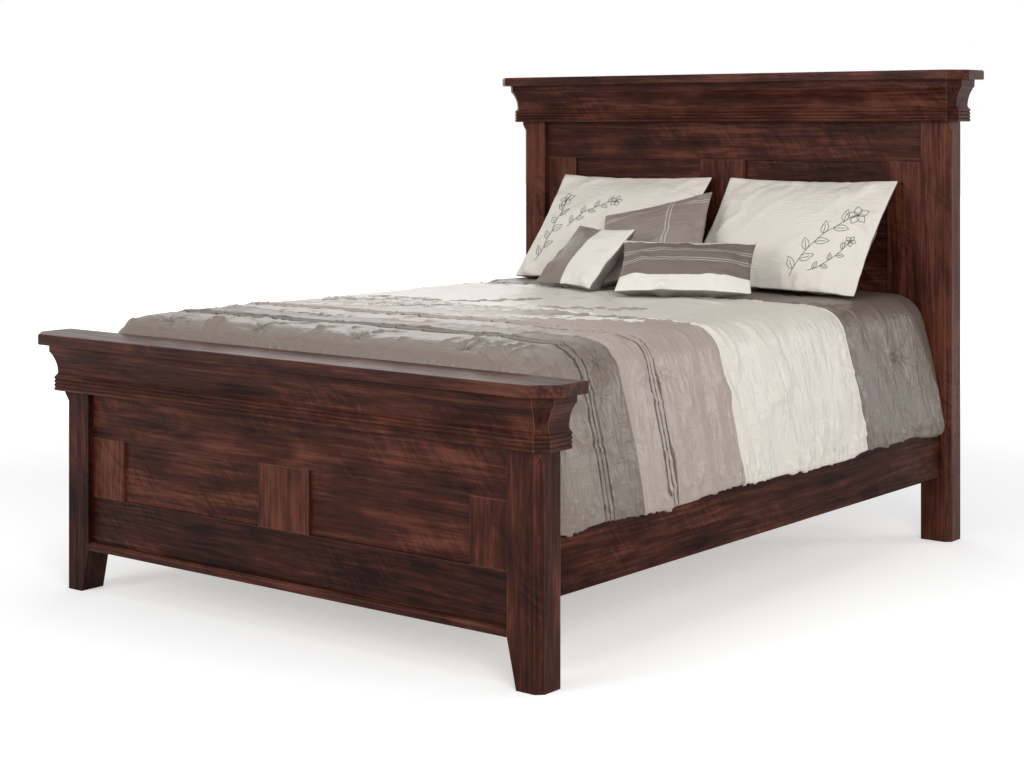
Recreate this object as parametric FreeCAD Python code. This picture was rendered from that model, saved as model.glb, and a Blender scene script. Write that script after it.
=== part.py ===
import FreeCAD, Part
import math
import os

from FreeCAD import Vector

# Panel bed, queen size, made up with its bedding.
# X runs across the bed, Y from the foot to the head, Z up.
# The origin is on the floor, in the middle of the bed's outline. All sizes are in millimetres.

# ---------------------------------------------------------------- driving dimensions

# The bed takes a queen mattress, with room for it between the side rails and between the boards
mattress_width = 1524.0
mattress_length = 2032.0
mattress_side_room = 52.0
mattress_end_room = 24.0
headboard_height = 1524.0
footboard_height = 743.0

# Posts
post_width = 102.0
post_depth = 80.0
post_chamfer = 17.0
chamfer_stop_below_crown = 8.0
chamfer_run_out = 24.0
chamfer_tip = 0.1
foot_leg_width = 74.0
post_arris = 1.5

# Cap boards
cap_thickness = 31.0
cap_overhang = 80.0
cap_back_overhang = 4.0
cap_top_radius = 5.0
cap_bottom_radius = 3.5
cap_corner_radius = 14.0

# Crown moulding: a fillet over a cove over a band of reeds
corner_cut = 9.0
reed_count = 4
reed_pitch = 10.75
reed_overhang = 35.0
reed_depth = 4.8
neck_height = 8.0
cove_overhang = 25.0
cove_height = 60.0
cove_projection = 21.5
fillet_overhang = 50.0
fillet_height = 24.0
fillet_batter = 1.5

# Frame and panels of both boards
frame_recess = 20.0
frame_thickness = 24.0
top_rail_drop = 133.0
bottom_rail_width = 153.0
foot_rail_clearance = 122.0
head_rail_clearance = 300.0
stile_width = 132.0
muntin_width = 186.0
panel_recess = 10.0
panel_thickness = 9.0
groove_depth = 10.0
tenon_length = 42.0
tenon_shoulder = 20.0
joint_fit = 0.15
joint_end_gap = 0.6
frame_arris = 1.2

# Strip along the footboard's lower edge
strip_height = 22.0
strip_projection = 18.0
strip_bevel = 6.0

# Side rails, cleats and slats
side_rail_thickness = 28.0
side_rail_height = 190.0
side_rail_clearance = 208.0
side_rail_inset = 32.0
side_rail_arris = 2.5
cleat_width = 28.0
cleat_height = 40.0
cleat_above_rail_edge = 5.0
slat_count = 5
slat_width = 90.0
slat_thickness = 19.0
slat_end_gap = 3.0
slat_edge_distance = 110.0

# Centre legs with screw-in levelling glides
leg_size = 45.0
leg_lift = 20.0
glide_foot_radius = 16.0
glide_foot_height = 7.0
glide_foot_bevel = 2.3
glide_stem_radius = 4.0
glide_stem_length = 46.0
glide_tip_bevel = 1.2
glide_running_fit = 0.06
glide_travel = 11.0
insert_radius = 6.5
insert_flange_radius = 11.0
insert_flange_thickness = 1.6
insert_length = 12.0
stem_hole_fit = 0.4

# Bed-rail fasteners and screws
plate_height = 120.0
plate_width = 18.0
plate_thickness = 3.0
hook_thickness = 3.0
hook_reach = 6.0
hook_neck_height = 16.0
hook_drop = 10.0
hook_spacing = 60.0
hook_end_room = 1.2
slot_fit = 0.3
slot_lift = 14.0
plate_screw_spacing = 106.0
screw_radius = 2.4
screw_head_radius = 4.6
screw_length = 30.0
screw_fit = 0.1
cleat_screw_count = 6
cleat_screw_length = 42.0
cleat_screw_margin = 120.0
leg_screw_length = 60.0

# Mattress, foundation and comforter
foundation_height = 228.0
mattress_height = 275.0
mattress_edge_radius = 40.0
foundation_edge_radius = 15.0
soft_gap = 0.3
comforter_thickness = 24.0
comforter_end_gap = 4.0
comforter_foot_wall = 14.0
comforter_hem = 362.0
comforter_flare = 18.0
comforter_shoulder = 88.0
comforter_crown = 6.0
comforter_bow = 4.0
comforter_side_fit = 1.5
fold_count = 7
fold_station_count = 4
fold_depth = 9.0

# Pillows and cushions: width, height and thickness, then how each one lies.
# The lean angle is from upright, the turn angle about the vertical, the roll angle in its own plane.
sham_width = 650.0
sham_height = 460.0
sham_thickness = 105.0
sham_lean_angle = 39.0
left_sham_x = -348.0
right_sham_x = 372.0
sham_back_gap = 12.0
square_cushion_size = 400.0
square_cushion_thickness = 85.0
square_cushion_x = -60.0
square_cushion_lean_angle = 53.0
square_cushion_roll_angle = -22.0
lumbar_width = 440.0
lumbar_height = 270.0
lumbar_thickness = 90.0
lumbar_x = 210.0
lumbar_lean_angle = 56.0
lumbar_turn_angle = 27.0
small_cushion_width = 320.0
small_cushion_height = 265.0
small_cushion_thickness = 80.0
small_cushion_lean_angle = 44.0
small_cushion_turn_angle = -17.0
cushion_drawn_in = 12.0
cushion_spacing = 2.0
cushion_slice_count = 6
reach_sample_count = 25

# ---------------------------------------------------------------- sizes that follow

half_width = mattress_width / 2 + mattress_side_room + side_rail_thickness + side_rail_inset
rail_length = mattress_length + 2 * mattress_end_room
overall_depth = cap_overhang + 2 * post_depth + rail_length + cap_back_overhang
foot_front = cap_overhang - overall_depth / 2
foot_back = foot_front + post_depth
head_front = foot_back + rail_length
middle_y = (foot_back + head_front) / 2
inner_face = half_width - post_width

reed_band = reed_count * reed_pitch
reed_root = reed_overhang - reed_depth
crown_height = reed_band + neck_height + cove_height + fillet_height
head_cap_base = headboard_height - cap_thickness
foot_cap_base = footboard_height - cap_thickness
head_crown_base = head_cap_base - crown_height
foot_crown_base = foot_cap_base - crown_height

side_rail_outer = half_width - side_rail_inset
side_rail_inner = side_rail_outer - side_rail_thickness
side_rail_top = side_rail_clearance + side_rail_height
cleat_bottom = side_rail_clearance + cleat_above_rail_edge
slat_bottom = cleat_bottom + cleat_height
slat_top = slat_bottom + slat_thickness
slat_half = side_rail_inner - slat_end_gap
foundation_bottom = slat_top + soft_gap
foundation_top = foundation_bottom + foundation_height
mattress_bottom = foundation_top + soft_gap
mattress_top = mattress_bottom + mattress_height
comforter_bottom = mattress_top + soft_gap
comforter_top = comforter_bottom + comforter_thickness

# Half of each corner's turn of 45 degrees
MITRE = math.tan(math.radians(22.5))

# How far cutting shapes reach past what they cut
CUT_MARGIN = 1.0

# The slope of the comforter's inside where it widens below the mattress
HOLLOW_SLOPE = 2.0

# How deep the comforter's folds are at the foot, as a share of their depth at the head
FOOT_FOLD_SHARE = 0.55

# A cushion's form, as shares of its size: how round its corners are at the seam and towards the
# crown, how fast the drawn-in sides fill out, and the powers of the crown's curve
SEAM_CORNER_SHARE = 0.08
CROWN_CORNER_SHARE = 0.6
CORNER_TIP_SHARE = 0.3
SIDE_FILL_RATE = 3.4
CROWN_POWER = 2.4
CROWN_SOFTNESS = 0.67


# ---------------------------------------------------------------- helpers

def block(x0, x1, y0, y1, z0, z1):
    """A rectangular block between two corners."""
    return Part.makeBox(x1 - x0, y1 - y0, z1 - z0, Vector(x0, y0, z0))


def outline(points):
    """A closed outline through points."""
    return Part.makePolygon(points + [points[0]])


def prism(points, direction):
    """A closed outline of points, extruded along a direction."""
    return Part.Face(outline(points)).extrude(direction)


def plan_prism(plan_points, z0, z1):
    """An outline in plan, extruded upwards."""
    return prism([Vector(x, y, z0) for x, y in plan_points], Vector(0, 0, z1 - z0))


def flipped(shape):
    """The same piece on the other side of the bed."""
    return shape.mirror(Vector(0, 0, 0), Vector(1, 0, 0))


def end_for_end(shape):
    """The same piece at the other end of the side rails."""
    return shape.mirror(Vector(0, middle_y, 0), Vector(0, 1, 0))


def edges_where(shape, test):
    """The edges whose middle point and direction pass a test."""
    found = []
    for edge in shape.Edges:
        start, end = edge.Vertexes[0].Point, edge.Vertexes[-1].Point
        if test((start + end) * 0.5, end - start):
            found.append(edge)
    return found


def near(a, b):
    """Whether two coordinates are the same place."""
    return abs(a - b) < 0.01


def save(name, shape):
    """Write one named piece, or a group of separate pieces, as a STEP file."""
    if not shape.isValid():
        raise ValueError("invalid solid: " + name)
    shape.exportStep(os.path.join("parts", name + ".step"))
    print(name, len(shape.Solids), round(shape.Volume))


def countersunk_screw(head_centre, direction, length, grow=0.0):
    """A countersunk screw pointing along a direction; grow makes the hole for it."""
    cone_height = screw_head_radius - screw_radius
    head = Part.makeCone(screw_head_radius + grow, screw_radius + grow, cone_height,
                         head_centre, direction)
    shank = Part.makeCylinder(screw_radius + grow, length + grow, head_centre, direction)
    return head.fuse(shank).removeSplitter()


# ---------------------------------------------------------------- posts

def chamfer_tool(front, stop):
    """Cuts the outer front corner of the right-hand post, with a run-out below the crown."""
    def triangle(leg, z):
        m = CUT_MARGIN
        return [Vector(half_width - leg - m, front - m, z),
                Vector(half_width + m, front - m, z),
                Vector(half_width + m, front + leg + m, z)]

    run_out = stop - chamfer_run_out
    full = prism(triangle(post_chamfer, -CUT_MARGIN), Vector(0, 0, run_out + CUT_MARGIN))
    low = outline(triangle(post_chamfer, run_out))
    high = outline(triangle(chamfer_tip - CUT_MARGIN, stop))
    return full.fuse(Part.makeLoft([low, high], True, True))


def tenon(x_end, front, z0, z1, grow):
    """A rail tenon, or with grow the mortise for it, on the right-hand side."""
    y0 = front + frame_recess + panel_recess
    return block(x_end - CUT_MARGIN, x_end + tenon_length + (joint_end_gap if grow else 0.0),
                 y0 - grow, y0 + panel_thickness + grow,
                 z0 + tenon_shoulder - grow, z1 - tenon_shoulder + grow)


def right_post(front, top, leg_width, taper_top, crown_base, rail_spans):
    """One right-hand post with its chamfer, leg taper and mortises."""
    side = [Vector(half_width, front, 0), Vector(half_width, front, top), Vector(inner_face, front, top)]
    if leg_width < post_width:
        side.append(Vector(inner_face, front, taper_top))
    side.append(Vector(half_width - leg_width, front, 0))
    post = prism(side, Vector(0, post_depth, 0))
    inner_front = edges_where(post, lambda middle, run: near(middle.y, front)
                              and middle.x < half_width - CUT_MARGIN and abs(run.z) > CUT_MARGIN)
    post = post.makeFillet(post_arris, inner_front)
    back_corner = edges_where(post, lambda middle, run: near(middle.y, front + post_depth)
                              and near(middle.x, half_width) and abs(run.z) > CUT_MARGIN)
    post = post.makeFillet(post_arris, back_corner)
    post = post.cut(chamfer_tool(front, crown_base - chamfer_stop_below_crown))
    for z0, z1 in rail_spans:
        post = post.cut(tenon(inner_face, front, z0, z1, joint_fit))
    return post


# ---------------------------------------------------------------- crown moulding and cap

def path_vertex(index, offset, front):
    """Plan point of the moulding's line, offset outwards: 0 and 5 are the back ends."""
    side = half_width + offset
    clip_y = front + corner_cut - offset * MITRE
    clip_x = half_width - corner_cut + offset * MITRE
    points = [(-side, front + post_depth), (-side, clip_y), (-clip_x, front - offset),
              (clip_x, front - offset), (side, clip_y), (side, front + post_depth)]
    return points[index]


def crown_profile(origin, outward):
    """The moulding's section, standing on origin and facing outward."""
    def at(out, up):
        return origin + outward * out + Vector(0, 0, up)

    edges = [Part.LineSegment(at(0, 0), at(reed_root, 0))]
    for reed in range(reed_count):
        low = reed * reed_pitch
        edges.append(Part.Arc(at(reed_root, low), at(reed_overhang, low + reed_pitch / 2),
                              at(reed_root, low + reed_pitch)))
    cove_low = reed_band + neck_height
    cove_top = cove_low + cove_height
    edges.append(Part.LineSegment(at(reed_root, reed_band), at(cove_overhang, cove_low)))
    radius = (cove_projection ** 2 + cove_height ** 2) / (2 * cove_projection)
    half_turn = math.asin(cove_height / radius) / 2
    middle = at(cove_overhang + radius * (1 - math.cos(half_turn)),
                cove_low + radius * math.sin(half_turn))
    cove_lip = at(cove_overhang + cove_projection, cove_top)
    fillet_low = at(fillet_overhang - fillet_batter, cove_top)
    fillet_top = at(fillet_overhang, crown_height)
    back_top = at(0, crown_height)
    edges.append(Part.Arc(at(cove_overhang, cove_low), middle, cove_lip))
    edges.append(Part.LineSegment(cove_lip, fillet_low))
    edges.append(Part.LineSegment(fillet_low, fillet_top))
    edges.append(Part.LineSegment(fillet_top, back_top))
    edges.append(Part.LineSegment(back_top, at(0, 0)))
    return Part.Face(Part.Wire([edge.toShape() for edge in edges]))


def crown_piece(index, front, base):
    """One length of the crown moulding, mitred at both ends."""
    start = Vector(*path_vertex(index, 0, front), base)
    end = Vector(*path_vertex(index + 1, 0, front), base)
    along = (end - start).normalize()
    outward = Vector(along.y, -along.x, 0)
    spare = fillet_overhang
    long_way = along * ((end - start).Length + 2 * spare)
    uncut = crown_profile(start - along * spare, outward).extrude(long_way)
    past_fillet = fillet_overhang + CUT_MARGIN
    plan = [path_vertex(index, 0, front), path_vertex(index + 1, 0, front),
            path_vertex(index + 1, past_fillet, front), path_vertex(index, past_fillet, front)]
    piece = uncut.common(plan_prism(plan, base - CUT_MARGIN, base + crown_height + CUT_MARGIN))
    if index in (1, 3):
        post = block(inner_face, half_width, front, front + post_depth, base, base + crown_height)
        piece = piece.cut(post if index == 3 else flipped(post))
    return piece


def cap_board(front, base):
    """The cap with its clipped, rounded front corners and eased edges."""
    plan = [path_vertex(index, cap_overhang, front) for index in range(6)]
    back = front + post_depth + cap_back_overhang
    plan[0] = (plan[0][0], back)
    plan[5] = (plan[5][0], back)
    cap = plan_prism(plan, base, base + cap_thickness)
    clips = edges_where(cap, lambda middle, run: abs(run.z) > CUT_MARGIN
                        and middle.y < back - CUT_MARGIN)
    cap = cap.makeFillet(cap_corner_radius, clips)
    top = edges_where(cap, lambda middle, run: near(middle.z, base + cap_thickness))
    cap = cap.makeFillet(cap_top_radius, top)
    bottom = edges_where(cap, lambda middle, run: near(middle.z, base))
    return cap.makeFillet(cap_bottom_radius, bottom)


# ---------------------------------------------------------------- frame and panels

def groove(x0, x1, z0, z1, front):
    """The panel groove, as a cutter between two corners."""
    y0 = front + frame_recess + panel_recess
    return block(x0, x1, y0 - joint_fit, y0 + panel_thickness + joint_fit, z0, z1)


def tongue(x0, x1, z0, z1, front):
    """A panel, or the tongue of a stile, between two corners."""
    y0 = front + frame_recess + panel_recess
    return block(x0, x1, y0, y0 + panel_thickness, z0, z1)


def frame_member(x0, x1, z0, z1, front):
    """One plain board of the frame."""
    y0 = front + frame_recess
    return block(x0, x1, y0, y0 + frame_thickness, z0, z1)


def eased_edge(board, front, test):
    """Rounds the front edges of a frame board that pass a test."""
    face_y = front + frame_recess
    edges = edges_where(board, lambda middle, run: near(middle.y, face_y) and test(middle, run))
    return board.makeFillet(frame_arris, edges)


def rail(front, z0, z1, groove_up):
    """A cross rail with tenons in the posts and a groove on its panel side."""
    board = frame_member(-inner_face, inner_face, z0, z1, front)
    edge_z = z1 if groove_up else z0
    board = eased_edge(board, front, lambda middle, run: near(middle.z, edge_z) and near(run.z, 0))
    if groove_up:
        board = board.cut(groove(-inner_face, inner_face, z1 - groove_depth, z1 + CUT_MARGIN, front))
    else:
        board = board.cut(groove(-inner_face, inner_face, z0 - CUT_MARGIN, z0 + groove_depth, front))
    right = tenon(inner_face, front, z0, z1, 0)
    return board.fuse([right, flipped(right)]).removeSplitter()


def upright(x0, x1, z0, z1, front, groove_left, groove_right):
    """A stile or muntin: grooved where a panel meets it, with a tongue at each end."""
    board = frame_member(x0, x1, z0, z1, front)
    board = eased_edge(board, front, lambda middle, run: near(run.x, 0) and (
        (groove_left and near(middle.x, x0)) or (groove_right and near(middle.x, x1))))
    tongue_x0, tongue_x1 = x0, x1
    if groove_left:
        board = board.cut(groove(x0 - CUT_MARGIN, x0 + groove_depth, z0, z1, front))
        tongue_x0 = x0 + groove_depth
    if groove_right:
        board = board.cut(groove(x1 - groove_depth, x1 + CUT_MARGIN, z0, z1, front))
        tongue_x1 = x1 - groove_depth
    reach = groove_depth - joint_end_gap
    low = tongue(tongue_x0, tongue_x1, z0 - reach, z0 + CUT_MARGIN, front)
    high = tongue(tongue_x0, tongue_x1, z1 - CUT_MARGIN, z1 + reach, front)
    return board.fuse([low, high]).removeSplitter()


def panel_board(name, front, bottom_rail_base, cap_base, crown_base):
    """Everything of one board between and around its posts, apart from the posts."""
    field_low = bottom_rail_base + bottom_rail_width
    field_high = crown_base - top_rail_drop
    reach = groove_depth - joint_end_gap
    stile_inner = inner_face - stile_width
    save(name + "_top_rail", rail(front, field_high, cap_base, False))
    save(name + "_bottom_rail", rail(front, bottom_rail_base, field_low, True))
    right_stile = upright(stile_inner, inner_face, field_low, field_high, front, True, False)
    save(name + "_stile_right", right_stile)
    save(name + "_stile_left", flipped(right_stile))
    half_muntin = muntin_width / 2
    muntin = upright(-half_muntin, half_muntin, field_low, field_high, front, True, True)
    save(name + "_muntin", muntin)
    right_panel = tongue(half_muntin - reach, stile_inner + reach,
                         field_low - reach, field_high + reach, front)
    save(name + "_panel_right", right_panel)
    save(name + "_panel_left", flipped(right_panel))
    backing = block(-inner_face, inner_face, front, front + frame_recess, crown_base, cap_base)
    save(name + "_crown_backing", backing)
    names = ("return_left", "corner_left", "front", "corner_right", "return_right")
    for index, part_name in enumerate(names):
        save(name + "_crown_" + part_name, crown_piece(index, front, crown_base))
    save(name + "_cap", cap_board(front, cap_base))


def foot_strip():
    """The strip along the lower edge of the footboard, with a bevelled top."""
    y_back = foot_front + frame_recess
    y_front = y_back - strip_projection
    z0 = foot_rail_clearance
    z1 = z0 + strip_height
    section = [Vector(-inner_face, y_back, z0), Vector(-inner_face, y_front, z0),
               Vector(-inner_face, y_front, z1 - strip_bevel),
               Vector(-inner_face, y_front + strip_bevel, z1), Vector(-inner_face, y_back, z1)]
    return prism(section, Vector(2 * inner_face, 0, 0))


# ---------------------------------------------------------------- rail fasteners

plate_x = side_rail_outer - side_rail_thickness / 2
plate_z = side_rail_clearance + side_rail_height / 2
hook_levels = [plate_z - hook_spacing / 2, plate_z + hook_spacing / 2]
plate_screw_levels = [plate_z - plate_screw_spacing / 2, plate_z + plate_screw_spacing / 2]


def plate_block(y0, y1, grow=0.0):
    """The outline of a fastener plate at the right-hand head corner."""
    return block(plate_x - plate_width / 2 - grow, plate_x + plate_width / 2 + grow, y0, y1,
                 plate_z - plate_height / 2 - grow, plate_z + plate_height / 2 + grow)


def hook(level):
    """One hook: it passes the post plate's slot and drops behind it."""
    y0 = head_front - CUT_MARGIN
    y1 = head_front + plate_thickness + slot_fit
    y2 = y1 + hook_reach
    top = level + hook_neck_height / 2
    low = level - hook_neck_height / 2
    tip = low - hook_drop
    section = [(y0, low), (y1, low), (y1, tip), (y2, tip), (y2, top), (y0, top)]
    points = [Vector(plate_x - hook_thickness / 2, y, z) for y, z in section]
    return prism(points, Vector(hook_thickness, 0, 0))


def hook_space(level, y0, y1, drop):
    """The slot or pocket that a hook needs."""
    half = hook_thickness / 2 + slot_fit
    return block(plate_x - half, plate_x + half, y0, y1,
                 level - hook_neck_height / 2 - slot_fit - drop,
                 level + hook_neck_height / 2 + slot_lift)


def plate_screws(towards, grow=0.0):
    """The screws of one plate: towards is +1 into the post and -1 into the side rail."""
    head_y = head_front + towards * screw_fit
    return [countersunk_screw(Vector(plate_x, head_y, z), Vector(0, towards, 0), screw_length, grow)
            for z in plate_screw_levels]


def rail_plate():
    """The hooked plate, let into the end of the side rail."""
    plate = plate_block(head_front - plate_thickness, head_front)
    for tool in plate_screws(-1, screw_fit):
        plate = plate.cut(tool)
    return plate.fuse([hook(level) for level in hook_levels]).removeSplitter()


def post_plate():
    """The slotted plate, let into the post."""
    plate = plate_block(head_front, head_front + plate_thickness)
    for tool in plate_screws(1, screw_fit):
        plate = plate.cut(tool)
    y0 = head_front - CUT_MARGIN
    y1 = head_front + plate_thickness + CUT_MARGIN
    for level in hook_levels:
        plate = plate.cut(hook_space(level, y0, y1, 0))
    return plate


def post_pocket():
    """What is cut from the right-hand head post for the fastener."""
    deep = head_front + plate_thickness + hook_reach + hook_end_room
    tools = [plate_block(head_front - CUT_MARGIN, head_front + plate_thickness)]
    tools += [hook_space(level, head_front, deep, hook_drop) for level in hook_levels]
    return tools + plate_screws(1, screw_fit)


def four_corners(right_head_shapes):
    """Copies shapes of the right-hand head corner to all four corners."""
    copies = []
    for shape in right_head_shapes:
        foot = end_for_end(shape)
        copies += [shape, flipped(shape), foot, flipped(foot)]
    return copies


# ---------------------------------------------------------------- side rails, cleats and slats

def cleat_screw_places():
    """Where the screws of the right-hand cleat go, evenly spaced along it."""
    first = foot_back + cleat_screw_margin
    step = (rail_length - 2 * cleat_screw_margin) / (cleat_screw_count - 1)
    z = cleat_bottom + cleat_height / 2
    x = side_rail_inner - cleat_width
    return [Vector(x, first + step * n, z) for n in range(cleat_screw_count)]


def cleat_screws(grow=0.0):
    """The screws that hold the right-hand cleat to its rail."""
    return [countersunk_screw(place, Vector(1, 0, 0), cleat_screw_length, grow)
            for place in cleat_screw_places()]


def side_rail():
    """The right-hand side rail with eased edges, plate recesses and screw holes."""
    board = block(side_rail_inner, side_rail_outer, foot_back, head_front,
                  side_rail_clearance, side_rail_top)
    long_edges = edges_where(board, lambda middle, run: abs(run.y) > CUT_MARGIN)
    board = board.makeFillet(side_rail_arris, long_edges)
    recess = plate_block(head_front - plate_thickness, head_front + CUT_MARGIN)
    for tool in [recess] + plate_screws(-1, screw_fit):
        board = board.cut(tool).cut(end_for_end(tool))
    for tool in cleat_screws(screw_fit):
        board = board.cut(tool)
    return board


def cleat():
    """The ledger inside the right-hand side rail that carries the slats."""
    strip = block(side_rail_inner - cleat_width, side_rail_inner, foot_back, head_front,
                  cleat_bottom, cleat_bottom + cleat_height)
    for tool in cleat_screws(screw_fit):
        strip = strip.cut(tool)
    return strip


def slat_centres():
    """The middle line of each slat, evenly spaced along the rails."""
    first = foot_back + slat_edge_distance
    step = (rail_length - 2 * slat_edge_distance) / (slat_count - 1)
    return [first + step * n for n in range(slat_count)]


def legged_slats():
    """The numbers of the slats that stand on a centre leg: every second one."""
    return range(1, slat_count, 2)


def leg_screw(centre, grow=0.0):
    """The screw down through a slat into its centre leg."""
    return countersunk_screw(Vector(0, centre, slat_top), Vector(0, 0, -1), leg_screw_length, grow)


def slats():
    """All slats, as one group of separate boards."""
    boards = []
    for number, centre in enumerate(slat_centres()):
        board = block(-slat_half, slat_half, centre - slat_width / 2, centre + slat_width / 2,
                      slat_bottom, slat_top)
        if number in legged_slats():
            board = board.cut(leg_screw(centre, screw_fit))
        boards.append(board)
    return Part.makeCompound(boards)


# ---------------------------------------------------------------- centre legs and glides

stem_top = glide_foot_height + glide_stem_length


def centre_leg(centre):
    """A square leg under a slat, bored for its insert and the glide's stem."""
    half = leg_size / 2
    leg = block(-half, half, centre - half, centre + half, leg_lift, slat_bottom)
    leg = leg.makeFillet(post_arris, edges_where(leg, lambda middle, run: abs(run.z) > CUT_MARGIN))
    axis = Vector(0, centre, leg_lift - CUT_MARGIN)
    stem_room = stem_top + glide_travel - leg_lift + 2 * CUT_MARGIN
    leg = leg.cut(Part.makeCylinder(glide_stem_radius + stem_hole_fit, stem_room, axis))
    leg = leg.cut(Part.makeCylinder(insert_radius + glide_running_fit, insert_length + CUT_MARGIN, axis))
    return leg.cut(leg_screw(centre, screw_fit))


def glide_insert(centre):
    """The threaded insert in a leg: a flange under the wood and a barrel in it."""
    base = Vector(0, centre, leg_lift - insert_flange_thickness)
    flange = Part.makeCylinder(insert_flange_radius, insert_flange_thickness, base)
    barrel = Part.makeCylinder(insert_radius, insert_flange_thickness + insert_length, base)
    bore_length = insert_flange_thickness + insert_length + 2 * CUT_MARGIN
    bore = Part.makeCylinder(glide_stem_radius + glide_running_fit, bore_length,
                             base - Vector(0, 0, CUT_MARGIN))
    return flange.fuse(barrel).removeSplitter().cut(bore)


def glide(centre):
    """A levelling glide: a turned foot under a threaded stem."""
    r, h = glide_foot_radius, glide_foot_height
    bevel, tip = glide_foot_bevel, glide_tip_bevel
    section = [(0, 0), (r - bevel, 0), (r, bevel), (r, h - bevel), (glide_stem_radius, h),
               (glide_stem_radius, stem_top - tip), (glide_stem_radius - tip, stem_top), (0, stem_top)]
    face = Part.Face(outline([Vector(x, centre, z) for x, z in section]))
    return face.revolve(Vector(0, centre, 0), Vector(0, 0, 1), 360)


# ---------------------------------------------------------------- foundation, mattress, comforter

def padded_block(z0, z1, radius):
    """A mattress-like block with rounded edges, centred on the slats."""
    half_x, half_y = mattress_width / 2, mattress_length / 2
    body = block(-half_x, half_x, middle_y - half_y, middle_y + half_y, z0, z1)
    return body.makeFillet(radius, body.Edges)


def comforter_section(y, swell):
    """One closed section of the comforter's outside, at a station along the bed."""
    edge = mattress_width / 2
    hem_x = side_rail_outer + comforter_flare + swell
    shoulder_x = edge + comforter_thickness
    shoulder_z = comforter_top - comforter_shoulder
    crown_x = edge - comforter_shoulder
    crown_z = comforter_top - comforter_crown
    side_middle = Vector((hem_x + shoulder_x) / 2 + comforter_bow + swell / 2, y,
                         (comforter_hem + shoulder_z) / 2)
    fall, run = crown_z - shoulder_z, shoulder_x - crown_x
    radius = (run ** 2 + fall ** 2) / (2 * fall)
    half_turn = math.asin(run / radius) / 2
    corner = Vector(crown_x + radius * math.sin(half_turn), y,
                    crown_z - radius * (1 - math.cos(half_turn)))

    def left(point):
        return Vector(-point.x, point.y, point.z)

    hem, shoulder = Vector(hem_x, y, comforter_hem), Vector(shoulder_x, y, shoulder_z)
    crown, middle = Vector(crown_x, y, crown_z), Vector(0, y, comforter_top)
    edges = [Part.LineSegment(left(hem), hem), Part.Arc(hem, side_middle, shoulder),
             Part.Arc(shoulder, corner, crown), Part.Arc(crown, middle, left(crown)),
             Part.Arc(left(crown), left(corner), left(shoulder)),
             Part.Arc(left(shoulder), left(side_middle), left(hem))]
    return Part.Wire([piece.toShape() for piece in edges])


def comforter():
    """The comforter: crowned on top, with folds down its sides and a drop at the foot."""
    y0 = foot_back + comforter_end_gap
    y1 = head_front - comforter_end_gap
    steps = fold_station_count * fold_count
    sections = []
    for n in range(steps + 1):
        along = n / steps
        wave = (1 + math.cos(2 * math.pi * fold_count * along)) / 2
        depth = fold_depth * (FOOT_FOLD_SHARE + (1 - FOOT_FOLD_SHARE) * along)
        sections.append(comforter_section(y0 + (y1 - y0) * along, depth * wave))
    outside = Part.makeLoft(sections, True, False)
    bed = mattress_width / 2 + comforter_side_fit
    rail_x = side_rail_outer + comforter_side_fit
    low = comforter_hem - CUT_MARGIN
    over_rail = side_rail_top + comforter_side_fit
    eased = mattress_edge_radius / 2
    half = [(rail_x, over_rail), (bed, over_rail + (rail_x - bed) * HOLLOW_SLOPE),
            (bed, comforter_bottom - eased), (bed - eased, comforter_bottom)]
    section = half + [(-x, z) for x, z in reversed(half)]
    cavity_y0 = y0 + comforter_foot_wall
    cavity = prism([Vector(x, cavity_y0, z) for x, z in section],
                   Vector(0, y1 - cavity_y0 + CUT_MARGIN, 0))
    rail_space = block(-rail_x, rail_x, y0 - CUT_MARGIN, y1 + CUT_MARGIN, low, over_rail)
    return outside.cut(cavity.fuse(rail_space))


# ---------------------------------------------------------------- pillows and cushions

def cushion_outline(width, height, level, scale):
    """One slice of a cushion: its sides are drawn in at the seam and fuller towards the crown."""
    half_w, half_h = width / 2 * scale, height / 2 * scale
    draw = cushion_drawn_in * (1 - SIDE_FILL_RATE * (1 - scale))
    corner = min(half_w, half_h) * (SEAM_CORNER_SHARE + CROWN_CORNER_SHARE * (1 - scale))
    # from corner to corner each side is one arc, and each corner is a short arc
    points = [(-half_w + corner, -half_h), (half_w - corner, -half_h), (half_w, -half_h + corner),
              (half_w, half_h - corner), (half_w - corner, half_h), (-half_w + corner, half_h),
              (-half_w, half_h - corner), (-half_w, -half_h + corner)]
    middles = [(0, -half_h + draw), (half_w - draw, 0), (0, half_h - draw), (-half_w + draw, 0)]
    tips = [(half_w, -half_h), (half_w, half_h), (-half_w, half_h), (-half_w, -half_h)]
    edges = []
    for n, start in enumerate(points):
        end = points[(n + 1) % len(points)]
        via = middles[n // 2]
        if n % 2:
            chord_share = (1 - CORNER_TIP_SHARE) / 2
            via = [chord_share * (a + b) + CORNER_TIP_SHARE * c
                   for a, b, c in zip(start, end, tips[n // 2])]
        edges.append(Part.Arc(*[Vector(x, level, z) for x, z in (start, via, end)]).toShape())
    return Part.Wire(edges)


def cushion(width, height, thickness, lean, turn=0.0, roll=0.0):
    """A crowned cushion, leaning back, before it is placed."""
    scales = [math.sin(math.pi / 2 * n / cushion_slice_count) for n in range(1, cushion_slice_count + 1)]
    slices = [((1 - scale ** CROWN_POWER) ** CROWN_SOFTNESS * thickness / 2, scale) for scale in scales]
    front = [cushion_outline(width, height, -level, scale) for level, scale in slices]
    back = [cushion_outline(width, height, level, scale) for level, scale in reversed(slices[:-1])]
    body = Part.makeLoft(front + back, True, True)
    body.rotate(Vector(0, 0, 0), Vector(0, 1, 0), roll)
    body.rotate(Vector(0, 0, 0), Vector(1, 0, 0), -lean)
    body.rotate(Vector(0, 0, 0), Vector(0, 0, 1), turn)
    return body


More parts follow.
